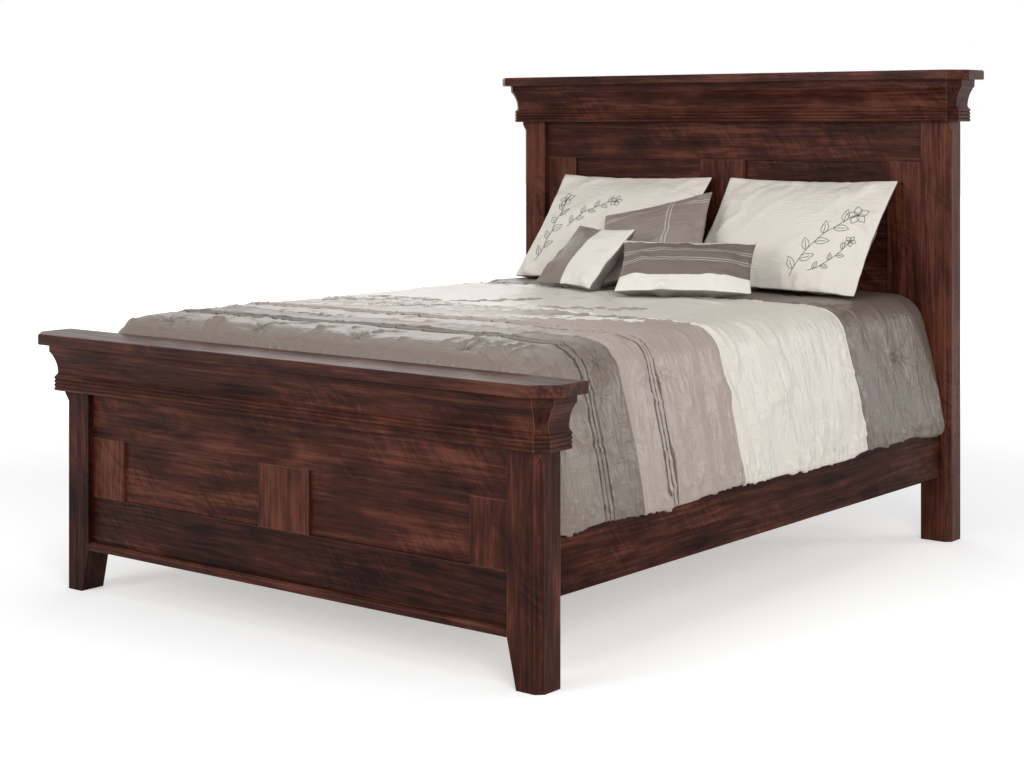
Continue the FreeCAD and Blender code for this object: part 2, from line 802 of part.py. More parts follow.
def surface_points(body):
    """Points along all edges of a cushion's slices."""
    return [point for edge in body.Edges for point in edge.discretize(reach_sample_count)]


def reach(body, direction):
    """How far a cushion reaches along a direction, as its lowest and highest value."""
    values = [point.dot(direction) for point in surface_points(body)]
    return min(values), max(values)


def leaning_normal(lean, turn=0.0):
    """The backward normal of a plane that leans back, and is turned about the vertical."""
    lean, turn = math.radians(lean), math.radians(turn)
    return Vector(-math.sin(turn) * math.cos(lean), math.cos(turn) * math.cos(lean), -math.sin(lean))


def comforter_height(x):
    """The height of the comforter's crowned top across the bed."""
    half = mattress_width / 2 - comforter_shoulder
    radius = (half ** 2 + comforter_crown ** 2) / (2 * comforter_crown)
    return comforter_top - radius + math.sqrt(radius ** 2 - min(abs(x), half) ** 2)


def leaned_on(body, x, normal, support):
    """Seats a cushion on the comforter, centred at x, and slides it back to a plane behind it."""
    low_x, high_x = reach(body, Vector(1, 0, 0))
    body.translate(Vector(x - (low_x + high_x) / 2, 0, 0))
    drop = min(point.z - comforter_height(point.x) for point in surface_points(body))
    body.translate(Vector(0, 0, soft_gap - drop))
    gap = support - reach(body, normal)[1]
    body.translate(Vector(0, gap / normal.y, 0))
    return body


# ---------------------------------------------------------------- build

def build_posts():
    """The four posts."""
    head_spans = [(head_rail_clearance, head_rail_clearance + bottom_rail_width),
                  (head_crown_base - top_rail_drop, head_cap_base)]
    foot_spans = [(foot_rail_clearance, foot_rail_clearance + bottom_rail_width),
                  (foot_crown_base - top_rail_drop, foot_cap_base)]
    head = right_post(head_front, head_cap_base, post_width, 0, head_crown_base, head_spans)
    foot = right_post(foot_front, foot_cap_base, foot_leg_width, foot_rail_clearance,
                      foot_crown_base, foot_spans)
    for tool in post_pocket():
        head = head.cut(tool)
        foot = foot.cut(end_for_end(tool))
    save("head_post_right", head)
    save("head_post_left", flipped(head))
    save("foot_post_right", foot)
    save("foot_post_left", flipped(foot))


def build_supports():
    """Side rails, cleats, slats, centre legs and all fasteners."""
    save("side_rail_right", side_rail())
    save("side_rail_left", flipped(side_rail()))
    save("cleat_right", cleat())
    save("cleat_left", flipped(cleat()))
    save("slats", slats())
    names = ("foot", "head")
    leg_lines = [slat_centres()[number] for number in legged_slats()]
    for name, centre in zip(names, leg_lines):
        save("centre_leg_" + name, centre_leg(centre))
        save("glide_" + name, glide(centre))
    save("glide_inserts", Part.makeCompound([glide_insert(centre) for centre in leg_lines]))
    save("leg_screws", Part.makeCompound([leg_screw(centre) for centre in leg_lines]))
    screws = cleat_screws()
    save("cleat_screws", Part.makeCompound(screws + [flipped(screw) for screw in screws]))
    save("rail_hook_plates", Part.makeCompound(four_corners([rail_plate()])))
    save("post_slot_plates", Part.makeCompound(four_corners([post_plate()])))
    save("plate_screws", Part.makeCompound(four_corners(plate_screws(1) + plate_screws(-1))))


def build_bedding():
    """Foundation, mattress, comforter, shams and cushions."""
    save("foundation", padded_block(foundation_bottom, foundation_top, foundation_edge_radius))
    save("mattress", padded_block(mattress_bottom, mattress_top, mattress_edge_radius))
    save("comforter", comforter())
    sham_back = head_front + frame_recess - sham_back_gap
    shams = {}
    for name, x in (("sham_left", left_sham_x), ("sham_right", right_sham_x)):
        sham = cushion(sham_width, sham_height, sham_thickness, sham_lean_angle)
        shams[name] = leaned_on(sham, x, leaning_normal(0), sham_back)
        save(name, shams[name])
    normal = leaning_normal(sham_lean_angle)
    square = cushion(square_cushion_size, square_cushion_size, square_cushion_thickness,
                     square_cushion_lean_angle, roll=square_cushion_roll_angle)
    behind = reach(shams["sham_left"], normal)[0] - cushion_spacing
    square = leaned_on(square, square_cushion_x, normal, behind)
    save("cushion_square", square)
    normal = leaning_normal(lumbar_lean_angle, lumbar_turn_angle)
    lumbar = cushion(lumbar_width, lumbar_height, lumbar_thickness, lumbar_lean_angle,
                     turn=lumbar_turn_angle)
    lumbar = leaned_on(lumbar, lumbar_x, normal, reach(square, normal)[0] - cushion_spacing)
    save("cushion_lumbar", lumbar)
    normal = leaning_normal(small_cushion_lean_angle, small_cushion_turn_angle)
    small = cushion(small_cushion_width, small_cushion_height, small_cushion_thickness,
                    small_cushion_lean_angle, turn=small_cushion_turn_angle)
    small_left, small_right = reach(small, Vector(1, 0, 0))
    lumbar_left = reach(lumbar, Vector(1, 0, 0))[0]
    small_x = lumbar_left - cushion_spacing - (small_right - small_left) / 2
    small = leaned_on(small, small_x, normal, reach(square, normal)[0] - cushion_spacing)
    save("cushion_small", small)


os.makedirs("parts", exist_ok=True)
build_posts()
panel_board("head", head_front, head_rail_clearance, head_cap_base, head_crown_base)
panel_board("foot", foot_front, foot_rail_clearance, foot_cap_base, foot_crown_base)
save("foot_strip", foot_strip())
build_supports()
build_bedding()
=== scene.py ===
"""The looks of a panel bed: its stained joinery and its made-up bedding.

All sizes are in metres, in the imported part's own frame: X across the bed, Y from the foot to the
head, Z up, with the origin on the floor in the middle of the bed.
"""
from __future__ import annotations

import logging
import math
from dataclasses import dataclass, field, replace
from enum import Enum
from typing import Any, Callable

import bpy
import numpy as np
from mathutils import Matrix, Vector
from mathutils.bvhtree import BVHTree
from mathutils.geometry import barycentric_transform

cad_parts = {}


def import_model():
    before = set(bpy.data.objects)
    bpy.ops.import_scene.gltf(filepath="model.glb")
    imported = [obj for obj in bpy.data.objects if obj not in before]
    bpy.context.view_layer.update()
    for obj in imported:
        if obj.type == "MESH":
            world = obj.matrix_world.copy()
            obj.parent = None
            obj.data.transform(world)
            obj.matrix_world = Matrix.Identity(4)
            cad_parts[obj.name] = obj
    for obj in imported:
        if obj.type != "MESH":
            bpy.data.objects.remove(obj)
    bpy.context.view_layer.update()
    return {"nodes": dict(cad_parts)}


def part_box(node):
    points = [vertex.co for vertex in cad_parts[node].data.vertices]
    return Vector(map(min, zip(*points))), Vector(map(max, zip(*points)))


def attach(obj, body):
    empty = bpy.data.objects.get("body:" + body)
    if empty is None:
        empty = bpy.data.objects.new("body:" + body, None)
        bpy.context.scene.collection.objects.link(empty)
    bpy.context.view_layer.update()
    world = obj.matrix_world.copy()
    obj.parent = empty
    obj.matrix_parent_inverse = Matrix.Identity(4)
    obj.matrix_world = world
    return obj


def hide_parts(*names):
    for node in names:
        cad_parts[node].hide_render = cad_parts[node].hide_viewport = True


log = logging.getLogger("panel_bed")

Triple = tuple[float, float, float]
Colour = Triple
Socket = bpy.types.NodeSocket
Tree = bpy.types.NodeTree
Piece = bpy.types.Object
Material = bpy.types.Material


def srgb(red: int, green: int, blue: int) -> Colour:
    """Turn a colour as it is seen on a screen, 0 to 255, into linear light."""
    return tuple((c / 255) ** 2.2 for c in (red, green, blue))


# ------------------------------------------------------------------ node trees


@dataclass(frozen=True)
class Cloud:
    """A field of noise: its features in a metre along each axis, and its finer octaves."""

    stretch: Triple
    detail: float = 2.0
    rough: float = 0.5


class Bench:
    """A node tree on the bench: makes nodes, sets their sockets and wires them."""

    def __init__(self, tree: bpy.types.NodeTree) -> None:
        """Take hold of a tree.

        Args:
            tree: the material's, world's or group's tree.
        """
        self.tree = tree

    def node(self, kind: str, inputs: dict[Any, Any] | None = None,
             **settings: Any) -> bpy.types.Node:
        """Add a node.

        Args:
            kind: the node's type without its ShaderNode prefix.
            inputs: values or sockets for its inputs, by name or number.
            settings: the node's own properties.

        Returns:
            The new node.
        """
        made = self.tree.nodes.new("ShaderNode" + kind)
        for name, value in settings.items():
            setattr(made, name, value)
        for key, value in (inputs or {}).items():
            self.feed(made.inputs[key], value)
        return made

    def feed(self, socket: Socket, value: Any) -> None:
        """Wire a socket to another, or set its value."""
        if isinstance(value, bpy.types.NodeSocket):
            self.tree.links.new(value, socket)
        elif isinstance(value, tuple) and socket.type == "RGBA":
            socket.default_value = (*value[:3], 1.0)
        else:
            socket.default_value = value

    def math(self, operation: str, *values: Any) -> Socket:
        """Add a Math node and return its result."""
        return self.node("Math", dict(enumerate(values)), operation=operation).outputs[0]

    def vector(self, operation: str, *values: Any) -> Socket:
        """Add a Vector Math node and return its result."""
        return self.node("VectorMath", dict(enumerate(values)), operation=operation).outputs[0]

    def noise(self, place: Socket, cloud: Cloud, seed: Any = 0.0, colour: bool = False) -> Socket:
        """Add noise that is stretched differently along each axis.

        Args:
            place: the coordinates in metres.
            cloud: its stretch and octaves.
            seed: the fourth coordinate, which picks another pattern.
            colour: whether the result is a vector and not a number.

        Returns:
            The noise, around 0.5.
        """
        scaled = self.vector("MULTIPLY", place, cloud.stretch)
        made = self.node("TexNoise", {"Vector": scaled, "W": seed, "Scale": 1.0,
                                      "Detail": cloud.detail, "Roughness": cloud.rough},
                         noise_dimensions="4D")
        return made.outputs["Color" if colour else "Fac"]

    def between(self, value: Socket, low: float, high: float, to_low: float = 0.0,
                to_high: float = 1.0) -> Socket:
        """Map a range onto another smoothly, clamped at its ends."""
        made = self.node("MapRange", {"Value": value, "From Min": low, "From Max": high,
                                      "To Min": to_low, "To Max": to_high},
                         interpolation_type="SMOOTHSTEP")
        return made.outputs["Result"]

    def mix(self, share: Any, first: Any, second: Any, blend: str = "MIX") -> Socket:
        """Mix two colours by a share."""
        made = self.node("Mix", {0: share, 6: first, 7: second}, data_type="RGBA",
                         blend_type=blend)
        return made.outputs[2]

    def ramp(self, value: Socket, stops: list[tuple[float, Colour]],
             constant: bool = False) -> Socket:
        """Turn a value into a colour.

        Args:
            value: from 0 to 1.
            stops: places and their colours, in order.
            constant: whether the colours change in steps.

        Returns:
            The colour.
        """
        made = self.node("ValToRGB", {"Fac": value})
        made.color_ramp.interpolation = "CONSTANT" if constant else "LINEAR"
        elements = made.color_ramp.elements
        elements.remove(elements[1])
        elements[0].position = stops[0][0]
        for number, (place, colour) in enumerate(stops):
            element = elements.new(place) if number else elements[0]
            element.color = (*colour, 1.0)
        return made.outputs["Color"]


def new_material(name: str) -> tuple[Material, Bench, bpy.types.Node]:
    """Start a material, and return it with the bench for its tree and its main shader."""
    made = bpy.data.materials.new(name)
    made.use_nodes = True
    return made, Bench(made.node_tree), made.node_tree.nodes["Principled BSDF"]


def new_group(name: str, inputs: dict[str, str],
              outputs: dict[str, str]) -> tuple[Bench, Any, Any]:
    """Start a shader node group.

    Args:
        name: the group's name.
        inputs: socket names and their kinds, Float, Vector or Color.
        outputs: the same for its results.

    Returns:
        The bench for its tree, its input node and its output node.
    """
    tree = bpy.data.node_groups.new(name, "ShaderNodeTree")
    for socket_name, kind in inputs.items():
        tree.interface.new_socket(socket_name, in_out="INPUT", socket_type="NodeSocket" + kind)
    for socket_name, kind in outputs.items():
        tree.interface.new_socket(socket_name, in_out="OUTPUT", socket_type="NodeSocket" + kind)
    return Bench(tree), tree.nodes.new("NodeGroupInput"), tree.nodes.new("NodeGroupOutput")


# The wood's figure: how its heart wanders, the rings' jitter and strength, the dark streaks, broad
# bands and blotches of the stain, the curl's ripple and where it shows, and the pores.
WANDER = Cloud((2.6, 2.6, 1.5), 2.0, 0.45)
JITTER = Cloud((30.0, 30.0, 9.0), 3.0, 0.6)
RING_STRENGTH = Cloud((7.0, 7.0, 4.0))
STREAKS = Cloud((150.0, 150.0, 6.0), 4.0, 0.62)
BROAD_BANDS = Cloud((45.0, 45.0, 2.2), 3.0, 0.55)
BLOTCHES = Cloud((10.0, 10.0, 5.0), 6.0, 0.62)
RIPPLE = Cloud((16.0, 16.0, 70.0), 3.0, 0.6)
RIPPLED_PATCHES = Cloud((5.0, 5.0, 3.0), 1.0)
PORES = Cloud((1500.0, 1500.0, 60.0), 1.0)

HEART_WANDER = (0.11, 0.11, 0.0)
HEART_LEAN = 0.045
STREAK_DRIFT = (0.03, 0.03, 0.0)
RIPPLE_SLANT = (0.0, 0.0, 0.8)
RING_TONE = 0.10
STREAK_TONE, BAND_TONE, BLOTCH_TONE = 1.0, 0.9, 1.1
PORE_TONE = -0.1
RING_RELIEF = 0.25


def wood_figure() -> Tree:
    """Build the figure of a flat-sawn board whose grain runs along Z.

    Returns:
        The group: Tone is light and dark wood, Relief its pores and growth rings.
    """
    bench, given, result = new_group(
        "wood_figure", {"Place": "Vector", "Seed": "Float", "Rings": "Float", "Curl": "Float"},
        {"Tone": "Float", "Relief": "Float"})
    place, seed = given.outputs["Place"], given.outputs["Seed"]
    wander = bench.noise(place, WANDER, seed, colour=True)
    moved = bench.vector("MULTIPLY_ADD", wander, HEART_WANDER, place)
    split = bench.node("SeparateXYZ", {0: moved})
    depth = bench.math("MULTIPLY_ADD", split.outputs[2], HEART_LEAN, split.outputs[1])
    flat = bench.node("CombineXYZ", {0: split.outputs[0], 1: depth, 2: 0.0}).outputs[0]
    radius = bench.node("VectorMath", {0: flat}, operation="LENGTH").outputs["Value"]
    jitter = bench.noise(place, JITTER, seed)
    phase = bench.math("ADD", bench.math("MULTIPLY", radius, given.outputs["Rings"]), jitter)
    wave = bench.math("SINE", bench.math("MULTIPLY", phase, math.tau))
    strength = bench.between(bench.noise(place, RING_STRENGTH, seed), 0.35, 0.65, 0.2, 1.0)
    ring = bench.math("MULTIPLY", bench.math("MULTIPLY", wave, 0.5), strength)
    drift = bench.vector("MULTIPLY_ADD", wander, STREAK_DRIFT, place)
    along = bench.node("CombineXYZ", {2: split.outputs[0]}).outputs[0]
    slant = bench.vector("MULTIPLY_ADD", along, RIPPLE_SLANT, place)
    ripple = bench.math("SUBTRACT", bench.noise(slant, RIPPLE, seed), 0.5)
    patch = bench.between(bench.noise(place, RIPPLED_PATCHES, seed), 0.42, 0.62)
    curl = bench.math("MULTIPLY", bench.math("MULTIPLY", ripple, patch), given.outputs["Curl"])
    pores = bench.between(bench.noise(place, PORES, seed), 0.6, 0.72)
    tone = bench.math("MULTIPLY_ADD", ring, RING_TONE, 0.5)
    for spot, cloud, weight in ((drift, STREAKS, STREAK_TONE), (drift, BROAD_BANDS, BAND_TONE),
                                (place, BLOTCHES, BLOTCH_TONE)):
        value = bench.math("SUBTRACT", bench.noise(spot, cloud, seed), 0.5)
        tone = bench.math("MULTIPLY_ADD", value, weight, tone)
    tone = bench.math("MULTIPLY_ADD", pores, PORE_TONE, bench.math("ADD", tone, curl))
    relief = bench.math("SUBTRACT", bench.math("MULTIPLY", ring, RING_RELIEF), pores)
    bench.feed(result.inputs["Tone"], tone)
    bench.feed(result.inputs["Relief"], relief)
    return bench.tree


def arris_bevel_and_highlight() -> Tree:
    """Build the soft arrises of a board, and the mask along them where a highlight is painted into
    the stain.

    Returns:
        The group: Edge is 1 along an arris, Normal turns smoothly round it.
    """
    bench, given, result = new_group("arris_bevel_and_highlight", {"Radius": "Float"},
                                     {"Edge": "Float", "Normal": "Vector"})
    soft = bench.node("Bevel", {"Radius": given.outputs["Radius"]}, samples=6).outputs[0]
    flat = bench.node("NewGeometry").outputs["Normal"]
    turned = bench.node("VectorMath", {0: soft, 1: flat}, operation="DOT_PRODUCT")
    bench.feed(result.inputs["Edge"], bench.between(turned.outputs["Value"], 0.995, 0.8))
    bench.feed(result.inputs["Normal"], soft)
    return bench.tree


# ------------------------------------------------------------------ wood


class Grain(Enum):
    """Which way a board's grain runs, as the order of X, Y and Z for width, depth and length."""

    ACROSS = (2, 1, 0)
    ALONG = (2, 0, 1)
    UP = (0, 1, 2)


@dataclass(frozen=True)
class WoodFinish:
    """A board's stain and lacquer, and the highlight painted along its arrises."""

    name: str
    dark: Colour
    middle: Colour
    light: Colour
    arris_highlight: Colour
    rings: float = 100.0
    curl: float = 0.7
    lift: float = 0.0
    roughness: float = 0.34
    specular: float = 0.08
    arris: float = 0.004
    highlight_share: float = 0.55


# In each finish the fourth colour is the highlight painted along the arrises.
STAINED = WoodFinish("stained", srgb(30, 15, 12), srgb(62, 34, 27), srgb(98, 58, 46),
                     srgb(150, 110, 92))
PALE_STAINED = replace(STAINED, name="pale_stained", lift=0.10)
# A lighter copy of the stain for the head posts: painted light, for their lit front faces.
POST_STAINED = replace(STAINED, name="post_stained", lift=0.19)
DEEP_STAINED = replace(STAINED, name="deep_stained", lift=-0.16)
RAIL_STAINED = replace(STAINED, name="rail_stained", lift=-0.06, specular=0.03)
# The crown's moulding has narrower arrises with a stronger painted highlight.
MOULDED = replace(STAINED, name="moulded", arris=0.0014, highlight_share=0.8)
# The caps' stain is lifted a little: painted sheen, for the light their tops catch.
CAPPED = replace(STAINED, name="capped", specular=0.11, roughness=0.3, lift=0.03)
# Its fourth colour is likewise the painted arris highlight.
PLAIN = WoodFinish("unfinished", srgb(150, 112, 72), srgb(188, 152, 108), srgb(212, 182, 140),
                   srgb(205, 175, 135), rings=160.0, curl=0.2, roughness=0.65, specular=0.3,
                   arris=0.001)


@dataclass
class Joinery:
    """Dresses the wooden nodes, each with its own cut of the timber."""

    nodes: dict[str, Piece]
    heart_depth: float = 0.07
    heart_aside: float = 0.03
    heart_along: float = 0.4
    pore_depth: float = 0.0004
    across: tuple[str, ...] = ("rail", "panel", "cap", "crown", "strip", "slats")
    finishes: tuple[tuple[tuple[str, ...], WoodFinish], ...] = (
        (("stile", "muntin"), PALE_STAINED), (("side_rail",), RAIL_STAINED),
        (("head_post",), POST_STAINED), (("bottom_rail", "foot_post_left"), DEEP_STAINED),
        (("crown",), MOULDED), (("cap",), CAPPED))
    figure: Tree = field(default_factory=wood_figure)
    arris: Tree = field(default_factory=arris_bevel_and_highlight)

    def grain(self, name: str) -> Grain:
        """Tell which way the grain of a node runs."""
        if name.startswith(("side_rail", "cleat")) or "return" in name:
            return Grain.ALONG
        return Grain.ACROSS if any(word in name for word in self.across) else Grain.UP

    def finish(self, name: str) -> WoodFinish:
        """Choose which copy of the stain and lacquer a board gets; some are lightened or darkened.
        """
        for words, finish in self.finishes:
            if any(word in name for word in words):
                return finish
        return STAINED

    def material(self, name: str, finish: WoodFinish, seed: float) -> Material:
        """Make the material of one board.

        Args:
            name: the node.
            finish: its stain and lacquer.
            seed: picks its cut of the timber.

        Returns:
            The material.
        """
        made, bench, shader = new_material(finish.name + "_" + name)
        low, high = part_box(name)
        middle = (low + high) / 2
        order = self.grain(name).value
        swing = math.sin(seed * 2.4)
        depth = self.heart_depth * (1 + 0.5 * math.cos(seed * 1.7))
        heart = (self.heart_aside * swing, depth, self.heart_along * swing)
        split = bench.node("SeparateXYZ", {0: bench.node("TexCoord").outputs["Object"]})
        turned = bench.node("CombineXYZ", {n: split.outputs[axis] for n, axis in enumerate(order)})
        shift = Vector(heart) - Vector([middle[axis] for axis in order])
        place = bench.node("Mapping", {"Vector": turned.outputs[0], "Location": shift}).outputs[0]
        figure = bench.node("Group", node_tree=self.figure)
        for key, value in (("Place", place), ("Seed", seed), ("Rings", finish.rings),
                           ("Curl", finish.curl)):
            bench.feed(figure.inputs[key], value)
        edge = bench.node("Group", node_tree=self.arris)
        edge.inputs["Radius"].default_value = finish.arris
        tone = bench.math("ADD", figure.outputs["Tone"], finish.lift)
        stain = bench.ramp(tone, [(0.15, finish.dark), (0.5, finish.middle),
                                  (0.85, finish.light)])
        # Paint a lighter colour along the arrises as a painted highlight, beside the real shading
        # of the bevelled normal.
        painted_highlight = bench.math("MULTIPLY", edge.outputs["Edge"], finish.highlight_share)
        bench.feed(shader.inputs["Base Color"], bench.mix(painted_highlight, stain, finish.arris_highlight))
        sheen = bench.between(figure.outputs["Tone"], 0.2, 0.8, finish.roughness + 0.08,
                              finish.roughness)
        bench.feed(shader.inputs["Roughness"], sheen)
        bump = bench.node("Bump", {"Strength": 0.25, "Distance": self.pore_depth,
                                   "Height": figure.outputs["Relief"],
                                   "Normal": edge.outputs["Normal"]})
        bench.feed(shader.inputs["Normal"], bump.outputs[0])
        shader.inputs["Specular IOR Level"].default_value = finish.specular
        return made

    def dress(self) -> None:
        """Give every wooden node its material."""
        names = [name for name in sorted(self.nodes) if "screws" not in name]
        wooden = [name for name in names if name.startswith(("head_", "foot_", "side_rail"))]
        bare = [name for name in names if name.startswith(("cleat_", "slats", "centre_leg"))]
        for number, name in enumerate(wooden + bare):
            finish = self.finish(name) if name in wooden else PLAIN
            material = self.material(name, finish, 1.0 + number * 0.83)
            paint(self.nodes[name], material)
        log.info("joinery: %d boards stained, %d left plain", len(wooden), len(bare))


def paint(piece: Piece, material: Material) -> None:
    """Give a piece one material in place of all it had."""
    piece.data.materials.clear()
    piece.data.materials.append(material)


# ------------------------------------------------------------------ metal


@dataclass(frozen=True)
class MetalFinish:
    """A plated steel fitting."""

    name: str
    colour: Colour
    roughness: float


@dataclass
class Hardware:
    """Dresses the plates, screws, inserts and glides."""

    nodes: dict[str, Piece]
    cloud: Cloud = Cloud((90.0, 90.0, 90.0), 3.0)
    scuffs: Cloud = Cloud((1200.0, 1200.0, 160.0))
    zinc: MetalFinish = MetalFinish("zinc", srgb(176, 176, 170), 0.38)
    steel: MetalFinish = MetalFinish("plated_steel", srgb(150, 150, 148), 0.3)

    def material(self, finish: MetalFinish) -> Material:
        """Make a plated metal with faint scuffs."""
        made, bench, shader = new_material(finish.name)
        place = bench.node("TexCoord").outputs["Object"]
        dull = tuple(c * 0.75 for c in finish.colour)
        cloudy = bench.noise(place, self.cloud, 3.0)
        plating = bench.ramp(cloudy, [(0.3, dull), (0.7, finish.colour)])
        scuffed = bench.between(bench.noise(place, self.scuffs, 5.0), 0.3, 0.7,
                                finish.roughness - 0.08, finish.roughness + 0.12)
        bench.feed(shader.inputs["Base Color"], plating)
        bench.feed(shader.inputs["Roughness"], scuffed)
        shader.inputs["Metallic"].default_value = 1.0
        return made

    def dress(self) -> None:
        """Give every metal node its material."""
        zinc, steel = self.material(self.zinc), self.material(self.steel)
        for name in ("rail_hook_plates", "post_slot_plates", "plate_screws", "cleat_screws",
                     "leg_screws", "glide_inserts"):
            paint(self.nodes[name], zinc)
        for name in ("glide_foot", "glide_head"):
            paint(self.nodes[name], steel)
        log.info("hardware: plates, screws, inserts and glides plated")


# ------------------------------------------------------------------ cloth


@dataclass(frozen=True)
class Panel:
    """One strip of a cover: where it starts, as a share of the cover, and its colour."""

    start: float
    colour: Colour


@dataclass(frozen=True)
class PaintedTuckLines:
    """Tucks side by side, each fold painted as a line mixed toward a tone, in metres from the flat
    cover's corner; the default black paints the shade in the folds.
    """

    centre: float
    pitch: float
    span: float
    width: float = 0.0045
    tone: Colour = (0.0, 0.0, 0.0)
    strength: float = 0.6
    axis: int = 1


TAUPE = srgb(124, 113, 103)
DARK_TAUPE = srgb(112, 101, 92)
ROSE_TAUPE = srgb(164, 151, 141)
CREAM = srgb(220, 213, 203)
PALE_CREAM = srgb(224, 219, 211)
MAUVE = srgb(140, 128, 121)
GREY_BACK = srgb(128, 123, 116)
DARK_THREAD = srgb(92, 86, 80)
THREAD = srgb(158, 149, 140)
WHITE_THREAD = srgb(232, 228, 222)
TICKING = srgb(226, 222, 214)
FOUNDATION_CLOTH = srgb(214, 208, 198)

FLAT = "flat"


# The satin: its slubs and warp, their cloudy shade, how the creases sway, and three sizes of
# creases with their strengths.
SLUB = Cloud((900.0, 30.0, 1.0), 2.0, 0.6)
WARP = Cloud((60.0, 1400.0, 1.0), 1.0)
SHADE = Cloud((7.0, 7.0, 1.0), 3.0)
SWAY = Cloud((5.0, 5.0, 1.0))
DRAWN_CREASES = ((Cloud((9.0, 42.0, 1.0), 1.0), 1.0), (Cloud((16.0, 70.0, 1.0), 1.0), 0.5),
                 (Cloud((48.0, 14.0, 1.0), 1.0), 0.4))
SWAY_REACH = (0.10, 0.10, 0.0)
CREST_WIDTH = 0.085
PATCH_SCALE = 0.7


def satin_weave() -> Tree:
    """Build the surface of a slubbed satin, on flat cloth measured in metres.

    Returns:
        The group: Shade is the light and dark of the yarn, Height its drawn creases.
    """
    bench, given, result = new_group("satin_weave", {"Place": "Vector", "Seed": "Float"},
                                     {"Shade": "Float", "Height": "Float"})
    place, seed = given.outputs["Place"], given.outputs["Seed"]
    slub, warp = bench.noise(place, SLUB, seed), bench.noise(place, WARP, seed)
    yarn = bench.math("MULTIPLY_ADD", slub, 0.5, bench.math("MULTIPLY", warp, 0.5))
    shade = bench.math("MULTIPLY_ADD", bench.noise(place, SHADE, seed), 0.4,
                       bench.math("MULTIPLY", yarn, 0.6))
    sway = bench.noise(place, SWAY, seed, colour=True)
    drawn = bench.vector("MULTIPLY_ADD", sway, SWAY_REACH, place)
    height = None
    for number, (cloud, strength) in enumerate(DRAWN_CREASES):
        line = bench.noise(drawn, cloud, bench.math("ADD", seed, 3.7 * number))
        off = bench.math("ABSOLUTE", bench.math("SUBTRACT", line, 0.5))
        crest = bench.between(off, 0.0, CREST_WIDTH, strength, 0.0)
        wide = replace(cloud, stretch=tuple(s * PATCH_SCALE for s in cloud.stretch))
        patch = bench.noise(place, wide, bench.math("ADD", seed, 9.1 + number))
        stroke = bench.math("MULTIPLY", crest, bench.between(patch, 0.46, 0.60))
        height = stroke if height is None else bench.math("ADD", height, stroke)
    bench.feed(result.inputs["Shade"], shade)
    bench.feed(result.inputs["Height"], height)
    return bench.tree


@dataclass(frozen=True)
class ClothFinish:
    """A satin cover: its strips of colour, and how it takes the light."""

    name: str
    panels: tuple[Panel, ...]
    upright: bool = True
    rows: tuple[PaintedTuckLines, ...] = ()
    roughness: float = 0.40
    specular: float = 0.3
    crease: float = 0.0008
    variation: float = 0.06

    def material(self, weave: Tree, size: tuple[float, float], seed: float = 0.0) -> Material:
        """Make the cover's material.

        Args:
            weave: the shared weave group.
            size: width and height of the flat cover.
            seed: picks another run of slubs and creases.

        Returns:
            The material.
        """
        made, bench, shader = new_material(self.name)
        flat = bench.node("UVMap", uv_map=FLAT).outputs[0]
        place = bench.vector("MULTIPLY", flat, (*size, 0.0))
        cloth = bench.node("Group", node_tree=weave)
        bench.feed(cloth.inputs["Place"], place)
        cloth.inputs["Seed"].default_value = seed
        split = bench.node("SeparateXYZ", {0: flat})
        share = split.outputs[1 if self.upright else 0]
        stops = [(panel.start, panel.colour) for panel in self.panels]
        dyed = bench.ramp(share, stops, constant=True)
        # Paint each tuck's fold as a line mixed toward the row's tone; on the comforter this is
        # painted shade in the folds.
        for row in self.rows:
            along = bench.node("SeparateXYZ", {0: place}).outputs[row.axis]
            off = bench.math("ABSOLUTE", bench.math("SUBTRACT", along, row.centre))
            near = bench.math("LESS_THAN", off, row.span / 2)
            gap = bench.math("PINGPONG", off, row.pitch / 2)
            line = bench.between(gap, row.width * 0.3, row.width * 0.62, 1.0, 0.0)
            painted_fold = bench.math("MULTIPLY", near, line)
            dyed = bench.mix(bench.math("MULTIPLY", painted_fold, row.strength), dyed, row.tone)
        yarn = cloth.outputs["Shade"]
        shade = bench.between(yarn, 0.25, 0.75, 1 - self.variation, 1 + self.variation)
        grey = bench.node("CombineColor", {0: shade, 1: shade, 2: shade}).outputs[0]
        bench.feed(shader.inputs["Base Color"], bench.mix(1.0, dyed, grey, "MULTIPLY"))
        sheen = bench.between(yarn, 0.2, 0.8, self.roughness - 0.05, self.roughness + 0.06)
        bench.feed(shader.inputs["Roughness"], sheen)
        bump = bench.node("Bump", {"Strength": 1.0, "Distance": self.crease,
                                   "Height": cloth.outputs["Height"]})
        bench.feed(shader.inputs["Normal"], bump.outputs[0])
        shader.inputs["Specular IOR Level"].default_value = self.specular
        return made


@dataclass(frozen=True)
class ThreadFinish:
    """A sewing or embroidery thread."""

    name: str
    colour: Colour
    roughness: float = 0.5
    twist: Cloud = Cloud((700.0, 700.0, 700.0))

    def material(self) -> Material:
        """Make the thread's material, with its twist."""
        made, bench, shader = new_material(self.name)
        twist = bench.noise(bench.node("TexCoord").outputs["Object"], self.twist, 1.0)
        shades = [(0.35, tuple(c * 0.8 for c in self.colour)), (0.65, self.colour)]
        bench.feed(shader.inputs["Base Color"], bench.ramp(twist, shades))
        shader.inputs["Roughness"].default_value = self.roughness
        shader.inputs["Sheen Weight"].default_value = 0.2
        return made


def points_of(piece: Piece) -> np.ndarray:
    """Read a mesh's points as rows of X, Y and Z."""
    flat = np.empty(len(piece.data.vertices) * 3, np.float32)
    piece.data.vertices.foreach_get("co", flat)
    return flat.reshape(-1, 3).astype(float)


def set_points(piece: Piece, points: np.ndarray) -> None:
    """Write a mesh's points back."""
    piece.data.vertices.foreach_set("co", points.astype(np.float32).ravel())
    piece.data.update()


